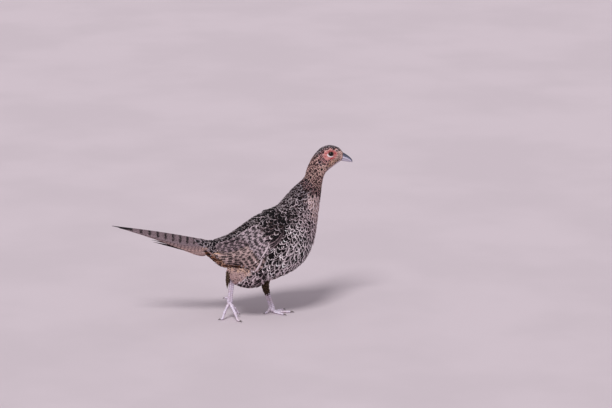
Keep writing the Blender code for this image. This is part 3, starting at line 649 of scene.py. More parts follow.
def vanePiece(name, rings, v, finish, strips=0):
    # Small feathers are patches at their roots' places in the bake's map. The wing's and the tail's long
    # ones lie there side by side, in this many rows of strips.
    many, rows, ring = rings.shape[:3]
    loops, sizes = tubeFaces(many, rows, ring)
    piece = meshPiece(name, rings.reshape(-1, 3), loops, sizes, finish)
    order = np.arange(many * rows * ring)
    which, rest = order // (rows * ring), order % (rows * ring)
    row, column = rest // ring, rest % ring
    u = np.where(column == ring - 1, 0.5, column / (ring - 2))
    along = 1 - (1 - row / (rows - 1)) ** 1.25
    vane = np.stack((u, along), axis=-1)
    addPlaces(piece, "vane", vane[loops])
    if strips:
        columns = math.ceil(many / strips)
        centre = np.stack((which % columns + 0.5, which // columns + 0.5), axis=-1) / (columns, strips)
        spread = 0.9 / np.array((columns, strips))
    else:
        centre, spread = np.stack((v["bakeU"], v["bakeV"]), axis=-1)[which], bakePatch
    addPlaces(piece, "OFBake", np.clip(centre + (vane - 0.5) * spread, 0, 1)[loops])
    for key in ("ground", "mark", "fringe", "spot", "grain", "dash", "skew"):
        addPointValues(piece, key, v[key][which])
    return piece


def slicesOf(count, most):
    groups = max(1, math.ceil(count / most))
    edges = np.linspace(0, count, groups + 1).astype(int)
    return list(zip(edges[:-1], edges[1:]))


def colourVanes(v, look, rng, vary=0.18):
    # each feather's own colours, a little lighter or darker than its neighbours'
    count = len(v["t"])
    light = np.exp(rng.normal(0, vary, (count, 1)))
    for key in ("ground", "mark", "fringe"):
        v[key] = np.clip(look[key] * light, 0, 1)
    v["spot"] = np.array(look["spot"]) + rng.normal(0, 1, (count, 3)) * np.array([0.11, 0.07, 0.025])
    v["grain"] = np.stack((look["mottle"] + rng.normal(0, 0.03, count), look["bars"], look["edge"]
                           + rng.normal(0, 0.03, count)), axis=-1)
    v["dash"] = look.get("dash", np.zeros((count, 3)))
    v["skew"] = rng.normal(0, 0.14, count)
    return v


def rootsInRows(surface, first, last, gapAt, jitter, rng, rowShare=0.9):
    # roots in rings round the body, every other ring set half a place on, from the head end back
    ring = np.linspace(0, 2 * math.pi, 241)
    foundT, foundA = [], []
    t, row = last, 0
    while t > first:
        level = np.full(ring.shape, t)
        places = surface(level, ring)
        length = np.linalg.norm(np.diff(places, axis=0), axis=1)
        middle = (ring[1:] + ring[:-1]) / 2
        gap = gapAt(level[1:], middle)
        count = np.concatenate(([0], np.cumsum(length / gap)))
        many = max(4, round(count[-1]))
        spots = (np.arange(many) + 0.5 * (row % 2) + rng.normal(0, jitter, many)) / many % 1.0
        a = np.interp(spots * count[-1], count, ring)
        _, _, byT, _ = frameAt(surface, np.full(4, t), np.array([0.0, 0.8, 1.57, 3.9]))
        step = rowShare * gap.mean() / np.linalg.norm(byT, axis=1).mean()
        foundT.append(t + rng.normal(0, jitter * 0.8, many) * step)
        foundA.append(a)
        t -= step
        row += 1
    return np.concatenate(foundT), np.concatenate(foundA)


# Eyes and the bare skin round them
eyePlace = {
    "x": 192.0,
    "z": 322.0,
    "radius": 6.95,
    "lidLong": 6.1,      # half length of the oval that the lids run along
    "lidHigh": 5.1,
    "slant": -8.0,       # degrees
    "bareLong": 12.8,    # half sizes of the bare red skin
    "bareHigh": 9.4,
    "bareDrop": 1.9,     # how far its middle lies under the eye's
    "bareBack": 0.8,     # and behind it
}


def facePlace(points):
    # place on the side of the face, along and up from the eye, turned with the lids
    turn = math.radians(eyePlace["slant"])
    dx, dz = points[..., 0] - eyePlace["x"], points[..., 2] - eyePlace["z"]
    return dx * math.cos(turn) + dz * -math.sin(turn), dx * math.sin(turn) + dz * math.cos(turn)


def bareness(points):
    # 1 in the middle of the bare skin, 0 at its edge and less outside
    x, z = facePlace(points)
    p = eyePlace
    r = np.sqrt(((x + p["bareBack"]) / p["bareLong"]) ** 2 + ((z + p["bareDrop"]) / p["bareHigh"]) ** 2)
    return np.where(np.abs(points[..., 1]) > 6, 1 - r, -1.0)


coatSettings = {
    "depth": 2.9,            # how far under the coat's surface the roots are, on the body
    "neckDepth": 1.7,
    "headDepth": 0.75,
    "jitter": 0.17,
    "rows": 11,
    "columns": 7,
    "smallRows": 8,
    "smallColumns": 5,
    "seed": 11,
}


def coatDepth(t):
    c = coatSettings
    return np.interp(t, (0, 2, 7, 9.5, 12, 13.5, headEnd), (
        1.6, c["depth"], c["depth"], c["neckDepth"], 1.2, c["headDepth"], 0.6))


def makeBodyCoat(finishes):
    c = coatSettings
    rng = np.random.default_rng(c["seed"])
    made = []
    t, a = rootsInRows(bodyPoint, 0.15, headEnd - 0.06,
                       lambda level, ring: plumageAt(level, elevation(ring))["gap"], c["jitter"], rng)
    e = elevation(a)
    within, bulge = wingPlace(t, e)
    here, _, byT, byA = frameAt(bodyPoint, t, a)
    keep = ~((within > np.where(e > 45, 0.2, 0.12)) & (t < 4.9)) & (bareness(here) < 0.12 + rng.normal(0, 0.17, len(t)))
    t, a, e, here, byT, byA = (x[keep] for x in (t, a, e, here, byT, byA))
    within, bulge = within[keep], bulge[keep]
    count = len(t)
    look = plumageAt(t + rng.normal(0, 0.12, count), e + rng.normal(0, 4, count))   # regions run into each other
    side = np.where(np.cos(a) >= 0, 1.0, -1.0)
    nearFace = smooth(bareness(here), -0.5, 0.0)
    length = look["gap"] * look["long"] * (1 + rng.normal(0, 0.06, count)) * (1 - 0.35 * nearFace)
    tilt = np.radians(look["tilt"] + rng.normal(0, 9, count))
    down = -unit(byA) * side[:, None]
    heading = unit(-byT) * np.cos(tilt)[:, None] + down * np.sin(tilt)[:, None]
    reach = unit(heading) * length[:, None]
    tt, ta, aa = (np.einsum("ij,ij->i", p, q) for p, q in ((byT, byT), (byT, byA), (byA, byA)))
    d, f = np.einsum("ij,ij->i", reach, byT), np.einsum("ij,ij->i", reach, byA)
    level = tt * aa - ta * ta
    v = {"t": t, "a": a, "dt": (d * aa - f * ta) / level, "da": (f * tt - d * ta) / level}
    tipWithin, tipBulge = wingPlace(t + v["dt"], elevation(a + v["da"]))
    clear = ~((tipWithin > 0.02) & (e < 20) & (t < 4.3))     # none reaches under the wing's lower edge
    depth = coatDepth(t)
    small = np.clip(look["gap"] / 8, 0.25, 1.2)
    v["rootHeight"] = -depth * 0.85 + bulge + rng.normal(0, 0.05, count) * small
    v["tipHeight"] = look["lift"] * np.where(t > 13, 0.8, 1.0) + tipBulge + rng.normal(0, 0.22, count) * small
    v["tipHeight"] += np.where(t < 7, smooth(tipBulge, 0.5, 2.5) * 1.0, 0)
    v["tipHeight"] += 1.5 * smooth(e, 50, 57) * smooth(-e, -84, -74) * smooth(-t, -5.4, -4.8) * smooth(t, 2.4, 3.0)
    v["tipHeight"] -= 1.1 * ((t + v["dt"] < 4.0) & (t > 2.4) & (e > -36) & (e < 6))     # tucked under the wing's tips
    v["width"] = look["gap"] * look["wide"] * (1 + rng.normal(0, 0.06, count)) * (1 - 0.3 * nearFace)
    v["camber"] = v["width"] * 0.09 + 0.05
    v["lean"] = rng.normal(0, 0.05, count)
    v["bakeU"], v["bakeV"] = t / headEnd, a / (2 * math.pi)
    colourVanes(v, look, rng)
    blushShare = (smooth(bareness(here), -0.75, -0.05) * 0.5 * rng.uniform(0.3, 1.3, count))[:, None]
    blushShare = np.clip(blushShare, 0, 1)
    for key in ("ground", "fringe"):
        v[key] = v[key] * (1 - blushShare) + tone("rosePink") * blushShare

    groups = (("tailCoverts", t < 1.75, "tail"), ("bodyFeathers", (t >= 1.75) & (t < 8.2), "torso"),
              ("neckFeathers", (t >= 8.2) & (t < 12.6), "neck"), ("headFeathers", t >= 12.6, "head"))
    for name, member, node in groups:
        chosen = np.flatnonzero(member & clear)
        big = node in ("tail", "torso")
        rows, columns = (c["rows"], c["columns"]) if big else (c["smallRows"], c["smallColumns"])
        triangles = 2 * (columns + 1) * (rows - 1) + 2 * (columns - 1)
        for k, (low, high) in enumerate(slicesOf(len(chosen), 180000 // triangles)):
            some = {key: value[chosen[low:high]] for key, value in v.items()}
            rings = layVanes(bodyPoint, some, rows, columns, rng)
            piece = vanePiece(f"{name}_{k + 1}", rings, some, finishes[node])
            made.append((piece, node))
        print(name, len(chosen), "feathers,", len(chosen) * triangles, "triangles")
    return made


# Rows of the wing's larger feathers: how many, root of the uppermost and of the lowest, tip of the
# uppermost and of the lowest (rung, degrees), width, height at root and tip, colours and marks
wingRows = {
    "primaries": dict(count=5, root=((3.9, 16), (3.8, -2)), tip=((1.6, 6), (2.4, -28)), width=12,
                      heights=(0.4, 1.5), ground="sand", mark="ink", fringe="fawn", shift=0.45,
                      spot=(0.05, 0.1, 0.95), dash=(-0.35, 0.5, 0.15), mottle=0.16, bars=5, edge=0.0),
    "secondaries": dict(count=13, root=((4.6, 50), (4.5, 14)), tip=((1.9, 28), (3.62, -28)), width=14,
                        heights=(0.9, 2.5), ground="sand", mark="ink", fringe="sand", shift=0.45,
                        spot=(0.05, 0.1, 0.95), dash=(-0.35, 0.5, 0.15), mottle=0.17, bars=5.5, edge=0.0),
    "tertials": dict(count=6, root=((4.8, 62), (4.6, 42)), tip=((2.0, 54), (1.9, 32)), width=16,
                     heights=(1.2, 2.4), ground="mauve", mark="ink", fringe="mauve", shift=0.4,
                     spot=(0.05, 0.1, 0.95), dash=(-0.5, 0.95, 0.3), mottle=0.16, bars=9, edge=-0.05),
    "greaterCoverts": dict(count=16, root=((5.3, 62), (4.9, 20)), tip=((3.2, 62), (4.0, 2)), width=12,
                           heights=(1.7, 3.1), ground="dove", mark="ink", fringe="dove", shift=0.4,
                           spot=(0.05, 0.2, 0.97), dash=(-0.3, 0.7, 0.2), mottle=0.12, bars=5.5, edge=0.0),
    "medianCoverts": dict(count=13, root=((6.0, 54), (5.5, 27)), tip=((4.3, 61), (4.5, 13)), width=11,
                          heights=(2.0, 3.4), ground="taupe", mark="ink", fringe="pale", shift=0.2,
                          spot=(0.66, 0.1, 0.97), dash=(0, 0, 0), mottle=0.08, bars=0, edge=0.04),
    # a pale line of narrow feathers along the wing's front edge
    "edgeFeathers": dict(count=2, root=((4.66, 20), (4.3, 8)), tip=((4.12, 1), (3.64, -32)), width=3.6,
                         heights=(3.2, 3.6), ground="pale", mark="mist", fringe="ivory", shift=0.0,
                         spot=(0.1, 0.1, 0.9), dash=(0, 0, 0), mottle=0.0, bars=0, edge=0.1, pointed=0.9),
}
wingDetail = {"rows": 24, "columns": 7, "shingle": 1.0, "seed": 23}


def makeWing(side, finish):
    # side is -1 for the right wing, 1 for the left
    rng = np.random.default_rng(wingDetail["seed"] + side)
    rings, all_ = [], []
    for name, row in wingRows.items():
        count = row["count"]
        s = np.linspace(0, 1, count)
        root = np.array(row["root"][0]) + (np.array(row["root"][1]) - np.array(row["root"][0])) * s[:, None]
        tip = np.array(row["tip"][0]) + (np.array(row["tip"][1]) - np.array(row["tip"][0])) * s[:, None]
        root += rng.normal(0, 1, root.shape) * np.array([0.02, 0.5])
        tip += rng.normal(0, 1, tip.shape) * np.array([0.05, 1.0])
        ends = bodyPoint(tip[[0, -1], 0], np.radians(tip[[0, -1], 1]))
        spacing = np.linalg.norm(ends[1] - ends[0]) / (count - 1)
        rootA, tipA = np.radians(root[:, 1]), np.radians(tip[:, 1])
        if side < 0:
            rootA, tipA = math.pi - rootA, math.pi - tipA
        v = {"t": root[:, 0], "a": rootA, "dt": tip[:, 0] - root[:, 0], "da": tipA - rootA,
             "width": row["width"] * (1 + rng.normal(0, 0.05, count)),
             "rootHeight": np.full(count, row["heights"][0]) - 0.2,
             "tipHeight": row["heights"][1] + rng.normal(0, 0.1, count),
             "camber": np.full(count, 0.5),
             "lean": np.full(count, -side * min(wingDetail["shingle"] / spacing, 0.16))}
        look = {key: np.tile(tone(row[key]), (count, 1)) for key in ("ground", "mark", "fringe")}
        look.update(spot=np.tile(row["spot"], (count, 1)), mottle=np.full(count, row["mottle"]),
                    dash=np.tile(np.array(row["dash"], float), (count, 1)),
                    bars=np.full(count, float(row["bars"])), edge=np.full(count, row["edge"]))
        colourVanes(v, look, rng, 0.1)
        v["skew"] = v["skew"] * 0.6 + side * row["shift"]     # the marks lie on the half that shows
        rings.append(layVanes(bodyPoint, v, wingDetail["rows"], wingDetail["columns"], rng,
                              pointed=row.get("pointed", 0.0)))
        all_.append(v)
    merged = {key: np.concatenate([v[key] for v in all_]) for key in all_[0]}
    name = "wingFeathers_" + ("right" if side < 0 else "left")
    return vanePiece(name, np.concatenate(rings), merged, finish, strips=2)


# Folded tail: the line of its ridge and the roof-shaped fold of its sides
tailShape = {
    "root": (-44, 0, 157.4),
    "tip": (-236, 0, 197.3),
    "radius": 34,
    "startSlope": 25,       # degrees at the ridge
    "lengths": (196, 181, 160, 137, 112, 95, 78, 64, 52),
    "inner": (0.2, 3.1, 6.2, 9.3, 23.5, 14.4, 15.8, 16.6, 17.0),
    "widths": (22, 22, 22, 22, 10, 22, 22, 22, 22),
    "darkOne": 4,           # a narrow dark feather that shows along the lower edge
    "arch": 2.3,
    "stack": 1.0,
    "rows": 70,
    "columns": 9,
    "barEvery": 16.3,       # mm from one dark bar to the next
    "barPlace": (0.56, 1.1, 0.0),       # how thin, how far down from the ridge, how patchy
    "fineBars": (0.35, 1.5, 0.5),       # the same for the other feathers' closer bars
    "barShift": math.pi / 9,            # keeps the bars of both halves of a vane in step
    "seed": 31,
}
tailTaper = np.array(((0.55,), (0.92,), (1.0,), (0.86,), (0.62,), (0.36,), (0.05,)))


def roofPoint(along, across, depth, side):
    p = tailShape
    root, tip = np.array(p["root"], float), np.array(p["tip"], float)
    run = unit(tip - root)
    up = np.array([run[2], 0, -run[0]])
    start = math.radians(p["startSlope"])
    slope = start + across / p["radius"]
    out = p["radius"] * (np.sin(slope) - math.sin(start)) - depth * np.sin(slope)
    drop = p["radius"] * (math.cos(start) - np.cos(slope)) + depth * np.cos(slope)
    bow = p["arch"] * np.sin(math.pi * np.minimum(1, along / p["lengths"][0]))
    return (root + run * along[..., None] + np.array([0, side, 0]) * np.maximum(out, 0.2)[..., None]
            + up * (bow - drop)[..., None])


def makeTail(finish):
    p = tailShape
    rng = np.random.default_rng(p["seed"])
    along = np.linspace(0, 1, p["rows"])
    across = np.linspace(-1, 1, p["columns"])
    rings, bakeU, bakeV, bars = [], [], [], []
    for number, length in enumerate(p["lengths"]):
        for side in (-1, 1):
            width = p["widths"][number] * between(tailTaper, along * (len(tailTaper) - 1))[:, 0]
            width = np.maximum(width, 0.8)
            inner = p["inner"][number]
            reach = inner + width[:, None] * (1 + across[None, :] * (1 + rng.normal(
                0, 0.012, (p["rows"], 1)))) / 2
            place = len(p["lengths"]) if number == p["darkOne"] else number
            depth = p["stack"] * place - 0.35 * (1 - np.abs(across))[None, :] * (1 - along)[:, None]
            level = np.broadcast_to((length * along)[:, None], reach.shape)
            top = roofPoint(level, reach, depth, side)
            under = roofPoint(level[:, :1], reach[:, p["columns"] // 2:p["columns"] // 2 + 1],
                              depth[:, :1] + 0.45, side)
            ring = np.concatenate((top, under), axis=1)
            rings.append(ring if side > 0 else ring[:, ::-1][:, list(range(1, p["columns"] + 1)) + [0]])
            bars.append(length / p["barEvery"])
    rings = np.array(rings)
    many = len(rings)
    rowsOfTail = np.arange(many)
    number = rowsOfTail // 2
    v = {"t": rowsOfTail}
    upper = np.clip(1 - number / 3, 0, 1)[:, None]     # the middle feathers, greyer and more barred
    look = {"ground": (tone("taupe") + tone("mauve")) / 2 * upper + tone("sand") * (1 - upper),
            "mark": np.where(number[:, None] < 1, tone("ink"), tone("bark")),
            "fringe": tone("mauve") * upper + tone("roseBuff") * (1 - upper),
            "spot": np.tile((0.04, 0.1, 0.9), (many, 1)),
            "dash": np.where(number[:, None] < 1, p["barPlace"], p["fineBars"]),
            "mottle": np.where(number < 1, 0.22, 0.19), "bars": np.array(bars) * np.where(number < 1, 1, 2) * (number < 5),
            "edge": np.where(number < 1, 0.2, 0.02)}
    look["spot"][number == 0] = (1.6, 0.93, 1.3)     # the tail's tip is dark
    for key in ("ground", "fringe"):
        look[key][number == p["darkOne"]] = tone("soot")
    colourVanes(v, look, rng, 0.06)
    v["skew"] = np.where(rowsOfTail % 2, 1, -1) * p["barShift"]     # bars keep to the half by the ridge
    return vanePiece("tailFeathers", rings, v, finish, strips=1)


# Thighs: centre x, y, z, half width across the body, half height
thighTables = {
    "right": ((60, -26, 100, 12, 16), (48, -30, 98, 16, 24), (33, -33, 91, 16, 24), (18, -33, 89, 14, 20),
              (5, -31, 92, 11, 17.5), (-3, -28, 97.5, 8.5, 13.5), (-9, -26.5, 101.5, 5.5, 9.5)),
    "left": ((84, 26, 106, 14, 15), (79, 28, 92, 13, 14), (74, 28, 80, 11, 12), (70.5, 27, 70, 8.5, 10),
             (69, 26, 62, 7, 9), (69, 25.5, 54.5, 5.6, 7.6)),
}
heelTuft = ((-9, -26.5, 107, 5, 6), (-12.4, -26, 97, 5, 5.6), (-14.2, -25, 87, 4, 4.6),
            (-15.0, -24, 78, 2.6, 3.2), (-15.4, -23.5, 70, 0.8, 1.0))
# the left one's feathers run on down the shank like a sock, whose dark colour also stands for the body's shadow on the
# shank: partly painted shadow
sockedThigh = thighTables["left"][:4] + ((69.2, 26, 61, 7, 8.8), (69.8, 23.8, 50, 5.4, 7.2),
                                         (72.6, 21.4, 39.5, 4.2, 5.6))
thighCoat = {
    "long": 2.6,
    "wide": 1.5,
    "depth": 1.8,
    "rows": 10,
    "columns": 5,
    "seed": 41,
}


def limbCoat(name, table, finish, pieceSeed, lookOf, gapOf, tilt=0.0, endGap=0.1):
    # lookOf gives the coat's look at places, and gapOf how far apart the feathers are there
    c = thighCoat
    rng = np.random.default_rng(c["seed"] + pieceSeed)
    surface = limbSurface(table)
    last = len(table) - 1

    def backwards(t, a):
        return surface(last - t, a)      # roots run from the body's end to the heel
    t, a = rootsInRows(backwards, endGap, last - 0.15, lambda level, ring: gapOf(backwards(level, ring)),
                       0.15, rng, 0.8)
    here, normal, byT, byA = frameAt(backwards, t, a)
    centre = between(np.array(table, float), last - t)[:, :3]
    outward = 1 if np.einsum("ij,ij->i", normal, here - centre).sum() > 0 else -1
    normal = normal * outward
    count = len(t)
    gap = gapOf(here)
    length = gap * c["long"] * (1 + rng.normal(0, 0.08, count))
    lower = np.array([0.0, 0.0, -1.0]) - normal * -normal[:, 2:3]
    turn = np.radians(tilt + rng.normal(0, 8, count))[:, None]
    reach = unit(unit(-byT) * np.cos(turn) + unit(lower) * np.sin(turn)) * length[:, None]
    tt, ta, aa = (np.einsum("ij,ij->i", p, q) for p, q in ((byT, byT), (byT, byA), (byA, byA)))
    d, f = np.einsum("ij,ij->i", reach, byT), np.einsum("ij,ij->i", reach, byA)
    level = tt * aa - ta * ta
    look = lookOf(here + rng.normal(0, 1.0, here.shape), normal)
    v = {"t": t, "a": a, "dt": (d * aa - f * ta) / level, "da": (f * tt - d * ta) / level,
         "width": gap * c["wide"] * (1 + rng.normal(0, 0.08, count)),
         "rootHeight": -c["depth"] + rng.normal(0, 0.05, count),
         "tipHeight": look["lift"] + rng.normal(0, 0.25, count)}
    v["camber"] = v["width"] * 0.09 + 0.05
    v["lean"] = rng.normal(0, 0.05, count)
    v["bakeU"], v["bakeV"] = t / last, a / (2 * math.pi)
    colourVanes(v, look, rng, 0.12)
    rings = layVanes(backwards, v, c["rows"], c["columns"], rng, outward)
    if outward < 0:
        rings = rings[:, :, ::-1][:, :, list(range(1, c["columns"] + 1)) + [0]]
    return vanePiece(name, rings, v, finish)


def mixedLook(share, one, other):
    # share is how much of the look named one there is at each place
    look = {}
    for key, first in one.items():
        pair = [tone(v) if isinstance(v, str) else np.array(v, float) for v in (first, other[key])]
        weight = share if pair[0].ndim == 0 else share[:, None]
        look[key] = pair[0] * weight + pair[1] * (1 - weight)
    return look


flankLook = dict(ground="mauve", mark="ink", fringe="pale", spot=(0.62, 0.3, 0.93), mottle=0.08, bars=0,
                 edge=0.09, lift=1.2)
fluffLook = dict(ground="roseBuff", mark="bark", fringe="mauve", spot=(0.3, 0.4, 0.8), mottle=0.05,
                 bars=0, edge=0.06, lift=0.6)
topLook = dict(ground="roseBuff", mark="umber", fringe="fawn", spot=(0.4, 0.4, 0.86), mottle=0.1,
               bars=0, edge=0.1, lift=0.8)
# painted shade: the dark olive look of the underside
undersideShadeLook = dict(ground="olive", mark="plumBlack", fringe="mauve", spot=(0.5, 0.4, 0.86), mottle=0.12, bars=0,
               edge=0.06, lift=1.0)
# dark lower feathering of the legs, partly painted shade under the body
darkAndShadedLook = dict(ground="olive", mark="soot", fringe="olive", spot=(0.5, 0.2, 0.9), mottle=0.12, bars=0,
                edge=0.05, lift=0.5)


def flankLine(points):
    # how far in front of the slanting line where the flank's feathers end and the thigh's fluff begins
    return points[..., 0] - (17 + (points[..., 2] - 79) * 0.667)


def overLook(share, above, under):
    # the look above, already worked out, over the named look under
    base = mixedLook(share, under, under)
    return {key: above[key] * (w := share if above[key].ndim == 1 else share[:, None]) + base[key] * (1 - w)
            for key in above}


def rightThighLook(points, normal):
    front = smooth(flankLine(points), -3, 3)
    look = mixedLook(front, flankLook, fluffLook)
    look = overLook(1 - smooth(points[:, 2], 97, 108) * (1 - front), look, topLook)
    # painted shade where the thigh faces down
    look = overLook(1 - smooth(-normal[:, 2], 0.5, 0.85) * front, look, undersideShadeLook)
    streak = np.exp(-(flankLine(points) / 2.0) ** 2)[:, None] * 0.85
    for key in ("ground", "mark", "fringe"):
        look[key] = look[key] * (1 - streak) + tone("ivory") * streak
    return look


# partly painted shade: darker low down and where the surface faces right, which on the left leg is the side under the
# body
def leftThighLook(points, normal):
    return mixedLook(smooth(points[:, 2], 82, 100) * smooth(normal[:, 1], -0.2, 0.6), fluffLook, darkAndShadedLook)


# Skin: the body inside its coat, with thighs, lids and eye sockets
skinSettings = {
    "sides": 200,
    "bodyRows": 110,
    "headRows": 150,
    "headFrom": 12.6,       # rung
    "wrinkle": 0.22,        # mm, on the bare face
    "lidThick": 0.72,
    "lowerLid": 2.1,        # how much wider the pale lower lid is
    "lowerLidAt": 238,      # degrees round the eye from the front, where it is widest
    "opening": 2.2,         # mm that the skin lies back under the open lids
    "folds": 0.3,           # mm, rings of skin round the lids
    "socketGap": 0.05,
}


def eyeFrames():
    # centre of each eyeball and the way it looks, from the solids
    found = {}
    for word, side in (("right", -1), ("left", 1)):
        low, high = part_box("eye_" + word)
        centre = np.array((low + high) / 2) / mm - standAt
        t, a = np.meshgrid(np.linspace(14, 17, 90), np.radians(np.linspace(-30, 60, 120)), indexing="ij")
        if side < 0:
            a = math.pi - a
        here, normal, _, _ = frameAt(bodyPoint, t, a)
        near = np.argmin(np.linalg.norm(here - centre, axis=-1))
        found[word] = (centre, normal.reshape(-1, 3)[near])
    return found


def ball(name, centre, radius, segments=32, rings=20):
    bm = bmesh.new()
    bmesh.ops.create_uvsphere(bm, u_segments=segments, v_segments=rings, radius=radius * mm,
                              matrix=Matrix.Translation(Vector((centre + standAt) * mm)))
    mesh = bpy.data.meshes.new(name)
    bm.to_mesh(mesh)
    bm.free()
    piece = bpy.data.objects.new(name, mesh)
    bpy.context.scene.collection.objects.link(piece)
    return piece


def lidTube(centre, axis, grow, thick, lowerExtra, radiusOut):
    # an oval ring that lies on the eyeball
    p = eyePlace
    steps, sides = 72, 14
    upWay = unit(np.array([0.0, 0.0, 1.0]) - axis * axis[2])
    forward = np.cross(upWay, axis)
    forward = forward * np.sign(forward[0])
    turn = math.radians(p["slant"])
    around = np.linspace(0, 2 * math.pi, steps, endpoint=False)
    x, z = p["lidLong"] * grow * np.cos(around), p["lidHigh"] * grow * np.sin(around)
    x, z = x * math.cos(turn) + z * math.sin(turn), -x * math.sin(turn) + z * math.cos(turn)
    flat = forward * x[:, None] + upWay * z[:, None]
    reach = np.linalg.norm(flat, axis=1)
    spine = centre + flat + axis * np.sqrt(np.maximum(radiusOut ** 2 - reach ** 2, 0.1))[:, None]
    outWay = unit(flat)
    lower = np.cos(around - math.radians(skinSettings["lowerLidAt"]))
    width = thick * (1 + (lowerExtra - 1) * smooth(lower, 0.1, 0.85))
    section = np.linspace(0, 2 * math.pi, sides, endpoint=False)
    radial = unit(spine - centre)
    tangent = unit(outWay - radial * np.einsum("ij,ij->i", outWay, radial)[:, None])
    shift = (width - thick)[:, None] * 0.9
    rings = (spine + tangent * shift)[:, None, :] + tangent[:, None, :] * (width[:, None]
             * np.cos(section))[..., None] + radial[:, None, :] * (thick * 0.75 * np.sin(section))[None, :, None]
    r, c = np.meshgrid(np.arange(steps), np.arange(sides), indexing="ij")
    r2, c2 = (r + 1) % steps, (c + 1) % sides
    loops = np.stack((r * sides + c, r2 * sides + c, r2 * sides + c2, r * sides + c2), axis=-1).ravel()
    points = rings.reshape(-1, 3)
    quads = loops.reshape(-1, 4)
    corner = points[quads]
    facing = np.cross(corner[:, 1] - corner[:, 0], corner[:, 2] - corner[:, 0])
    outside = corner.mean(axis=1) - np.repeat(spine + tangent * shift, sides, axis=0)
    sizes = np.full(len(quads), 4)
    if np.einsum("ij,ij->i", facing, outside).sum() < 0:
        loops = flipped(loops, sizes)
    return meshPiece("lid", points, loops, sizes)


def makeSkin(finish, eyes):
    s = skinSettings
    t = np.concatenate((np.linspace(0.02, s["headFrom"], s["bodyRows"], endpoint=False),
                        np.linspace(s["headFrom"], headEnd, s["headRows"])))
    a = np.linspace(0, 2 * math.pi, s["sides"], endpoint=False)
    level, ring = np.meshgrid(t, a, indexing="ij")
    here, normal, _, _ = frameAt(bodyPoint, np.clip(level, 0.03, headEnd - 0.03), ring)
    here = bodyPoint(level, ring)
    bare = smooth(bareness(here), -0.28, 0.05)
    _, bulge = wingPlace(level, elevation(ring))
    inset = coatDepth(level) * (1 - bare) + 0.15 * bare - bulge * 0.7
    lumps = (np.sin(here[..., 0] * 5.1 + np.sin(here[..., 2] * 3.3) * 1.7)
             * np.sin(here[..., 2] * 5.7 + np.sin(here[..., 0] * 2.9) * 1.9))
    inset -= bare * s["wrinkle"] * lumps
    x, z = facePlace(here)
    spread = np.sqrt((x / eyePlace["lidLong"]) ** 2 + (z / eyePlace["lidHigh"]) ** 2)
    open_ = smooth(-spread, -1.1, -0.85) * (np.abs(here[..., 1]) > 6)
    inset += open_ * s["opening"] - s["folds"] * bare * np.cos(8.2 * (spread - 1.25)) * smooth(-spread, -2.1, -1.3)
    rings = here - normal * inset[..., None]
    skin = tubePiece("skin", rings, finish, None)
    extras = []
    for word, (centre, axis) in eyes.items():
        extras.append(lidTube(centre, axis, 1.0, s["lidThick"], s["lowerLid"], eyePlace["radius"] + 0.45))
    for word, table in thighTables.items():
        surface = limbSurface(table)
        level, ring = np.meshgrid(np.linspace(0, len(table) - 1, 60),
                                  np.linspace(0, 2 * math.pi, 48, endpoint=False), indexing="ij")
        point = surface(level, ring)
        centre = between(np.array(table, float), level)[..., :3]
        shrink = 1 - thighCoat["depth"] / np.maximum(np.linalg.norm(point - centre, axis=-1), 3)
        extras.append(tubePiece("thighSkin", centre + (point - centre) * shrink[..., None], None, None))
    combine(skin, extras, "UNION")
    combine(skin, [ball("socket", centre, eyePlace["radius"] + s["socketGap"], 64, 40)
                   for centre, _ in eyes.values()], "DIFFERENCE")
    paintSkin(skin, eyes)
    skin.data.shade_smooth()
    return skin


# places on the bare face where the red is strongest: along and up from the eye, half sizes, share
redPatches = (((1.0, -9.6), (6.6, 2.0), 1.0), ((-3.0, 5.6), (5.5, 1.3), 0.7), ((8.8, -1.2), (2.6, 3.6), 1.0),
              ((-9.5, 2.2), (3.2, 1.8), 0.9), ((-11.5, -3.4), (2.2, 2.0), 0.8), ((7.8, -7.2), (2.0, 1.4), 0.8))


def paintSkin(skin, eyes):
    # the coat's own colours under the coat, red on the bare face, pale on the lower lid
    points = pointsOf(skin)
    t, a = np.meshgrid(np.linspace(0.05, headEnd - 0.02, 300),
                       np.linspace(0, 2 * math.pi, 120, endpoint=False), indexing="ij")
    grid = bodyPoint(t, a).reshape(-1, 3)
    tree = KDTree(len(grid))
    for i, p in enumerate(grid):
        tree.insert(p, i)
    tree.balance()
    near = np.array([tree.find(p)[1] for p in points])
    t, a = t.reshape(-1)[near], a.reshape(-1)[near]
    look = plumageAt(t, elevation(a))
    colour = look["ground"] * 0.35 + look["mark"] * 0.65
    bare = smooth(bareness(points), -0.4, -0.1)[:, None]
    x, z = facePlace(points)
    spread = np.sqrt((x / eyePlace["lidLong"]) ** 2 + (z / eyePlace["lidHigh"]) ** 2)
    strong = 0.45 * np.exp(-((spread - 1.3) / 0.3) ** 2)
    for at, size, share in redPatches:
        strong = np.maximum(strong, share * np.exp(-((x - at[0]) / size[0]) ** 2 - ((z - at[1]) / size[1]) ** 2))
    patch = smooth(np.sin(points[:, 0] * 1.9) * np.sin(points[:, 2] * 2.3 + points[:, 0]), -0.2, 0.8)
    strong = np.clip(strong * 1.1 + 0.3 * (patch - 0.5), 0, 1)[:, None]
    dull = (0.25 + 0.45 * smooth(z, 4.5, 9.5) + 0.25 * (1 - patch))[:, None]
    weak = tone("rosePink") * (1 - dull) + (tone("roseBuff") + tone("blush")) / 2 * dull
    skinTone = tone("brickRed") * strong + weak * (1 - strong)
    colour = colour * (1 - bare) + skinTone * bare
    lower = smooth((-x * 0.53 - z * 0.85) / np.maximum(np.hypot(x, z), 0.1), 0.1, 0.75)
    lid = (smooth(-spread, -1.17 - 0.24 * lower, -1.12 - 0.22 * lower) * (np.abs(points[:, 1]) > 6))[:, None]
    lidTone = (tone("rosePink") * 0.6 + tone("brickRed") * 0.2) * (1 - lower[:, None]) + tone("ivory") * lower[:, None]
    colour = colour * (1 - lid) + lidTone * lid
    addPointValues(skin, "tone", colour)
    addPointValues(skin, "bare", np.maximum(bare, lid)[:, 0])


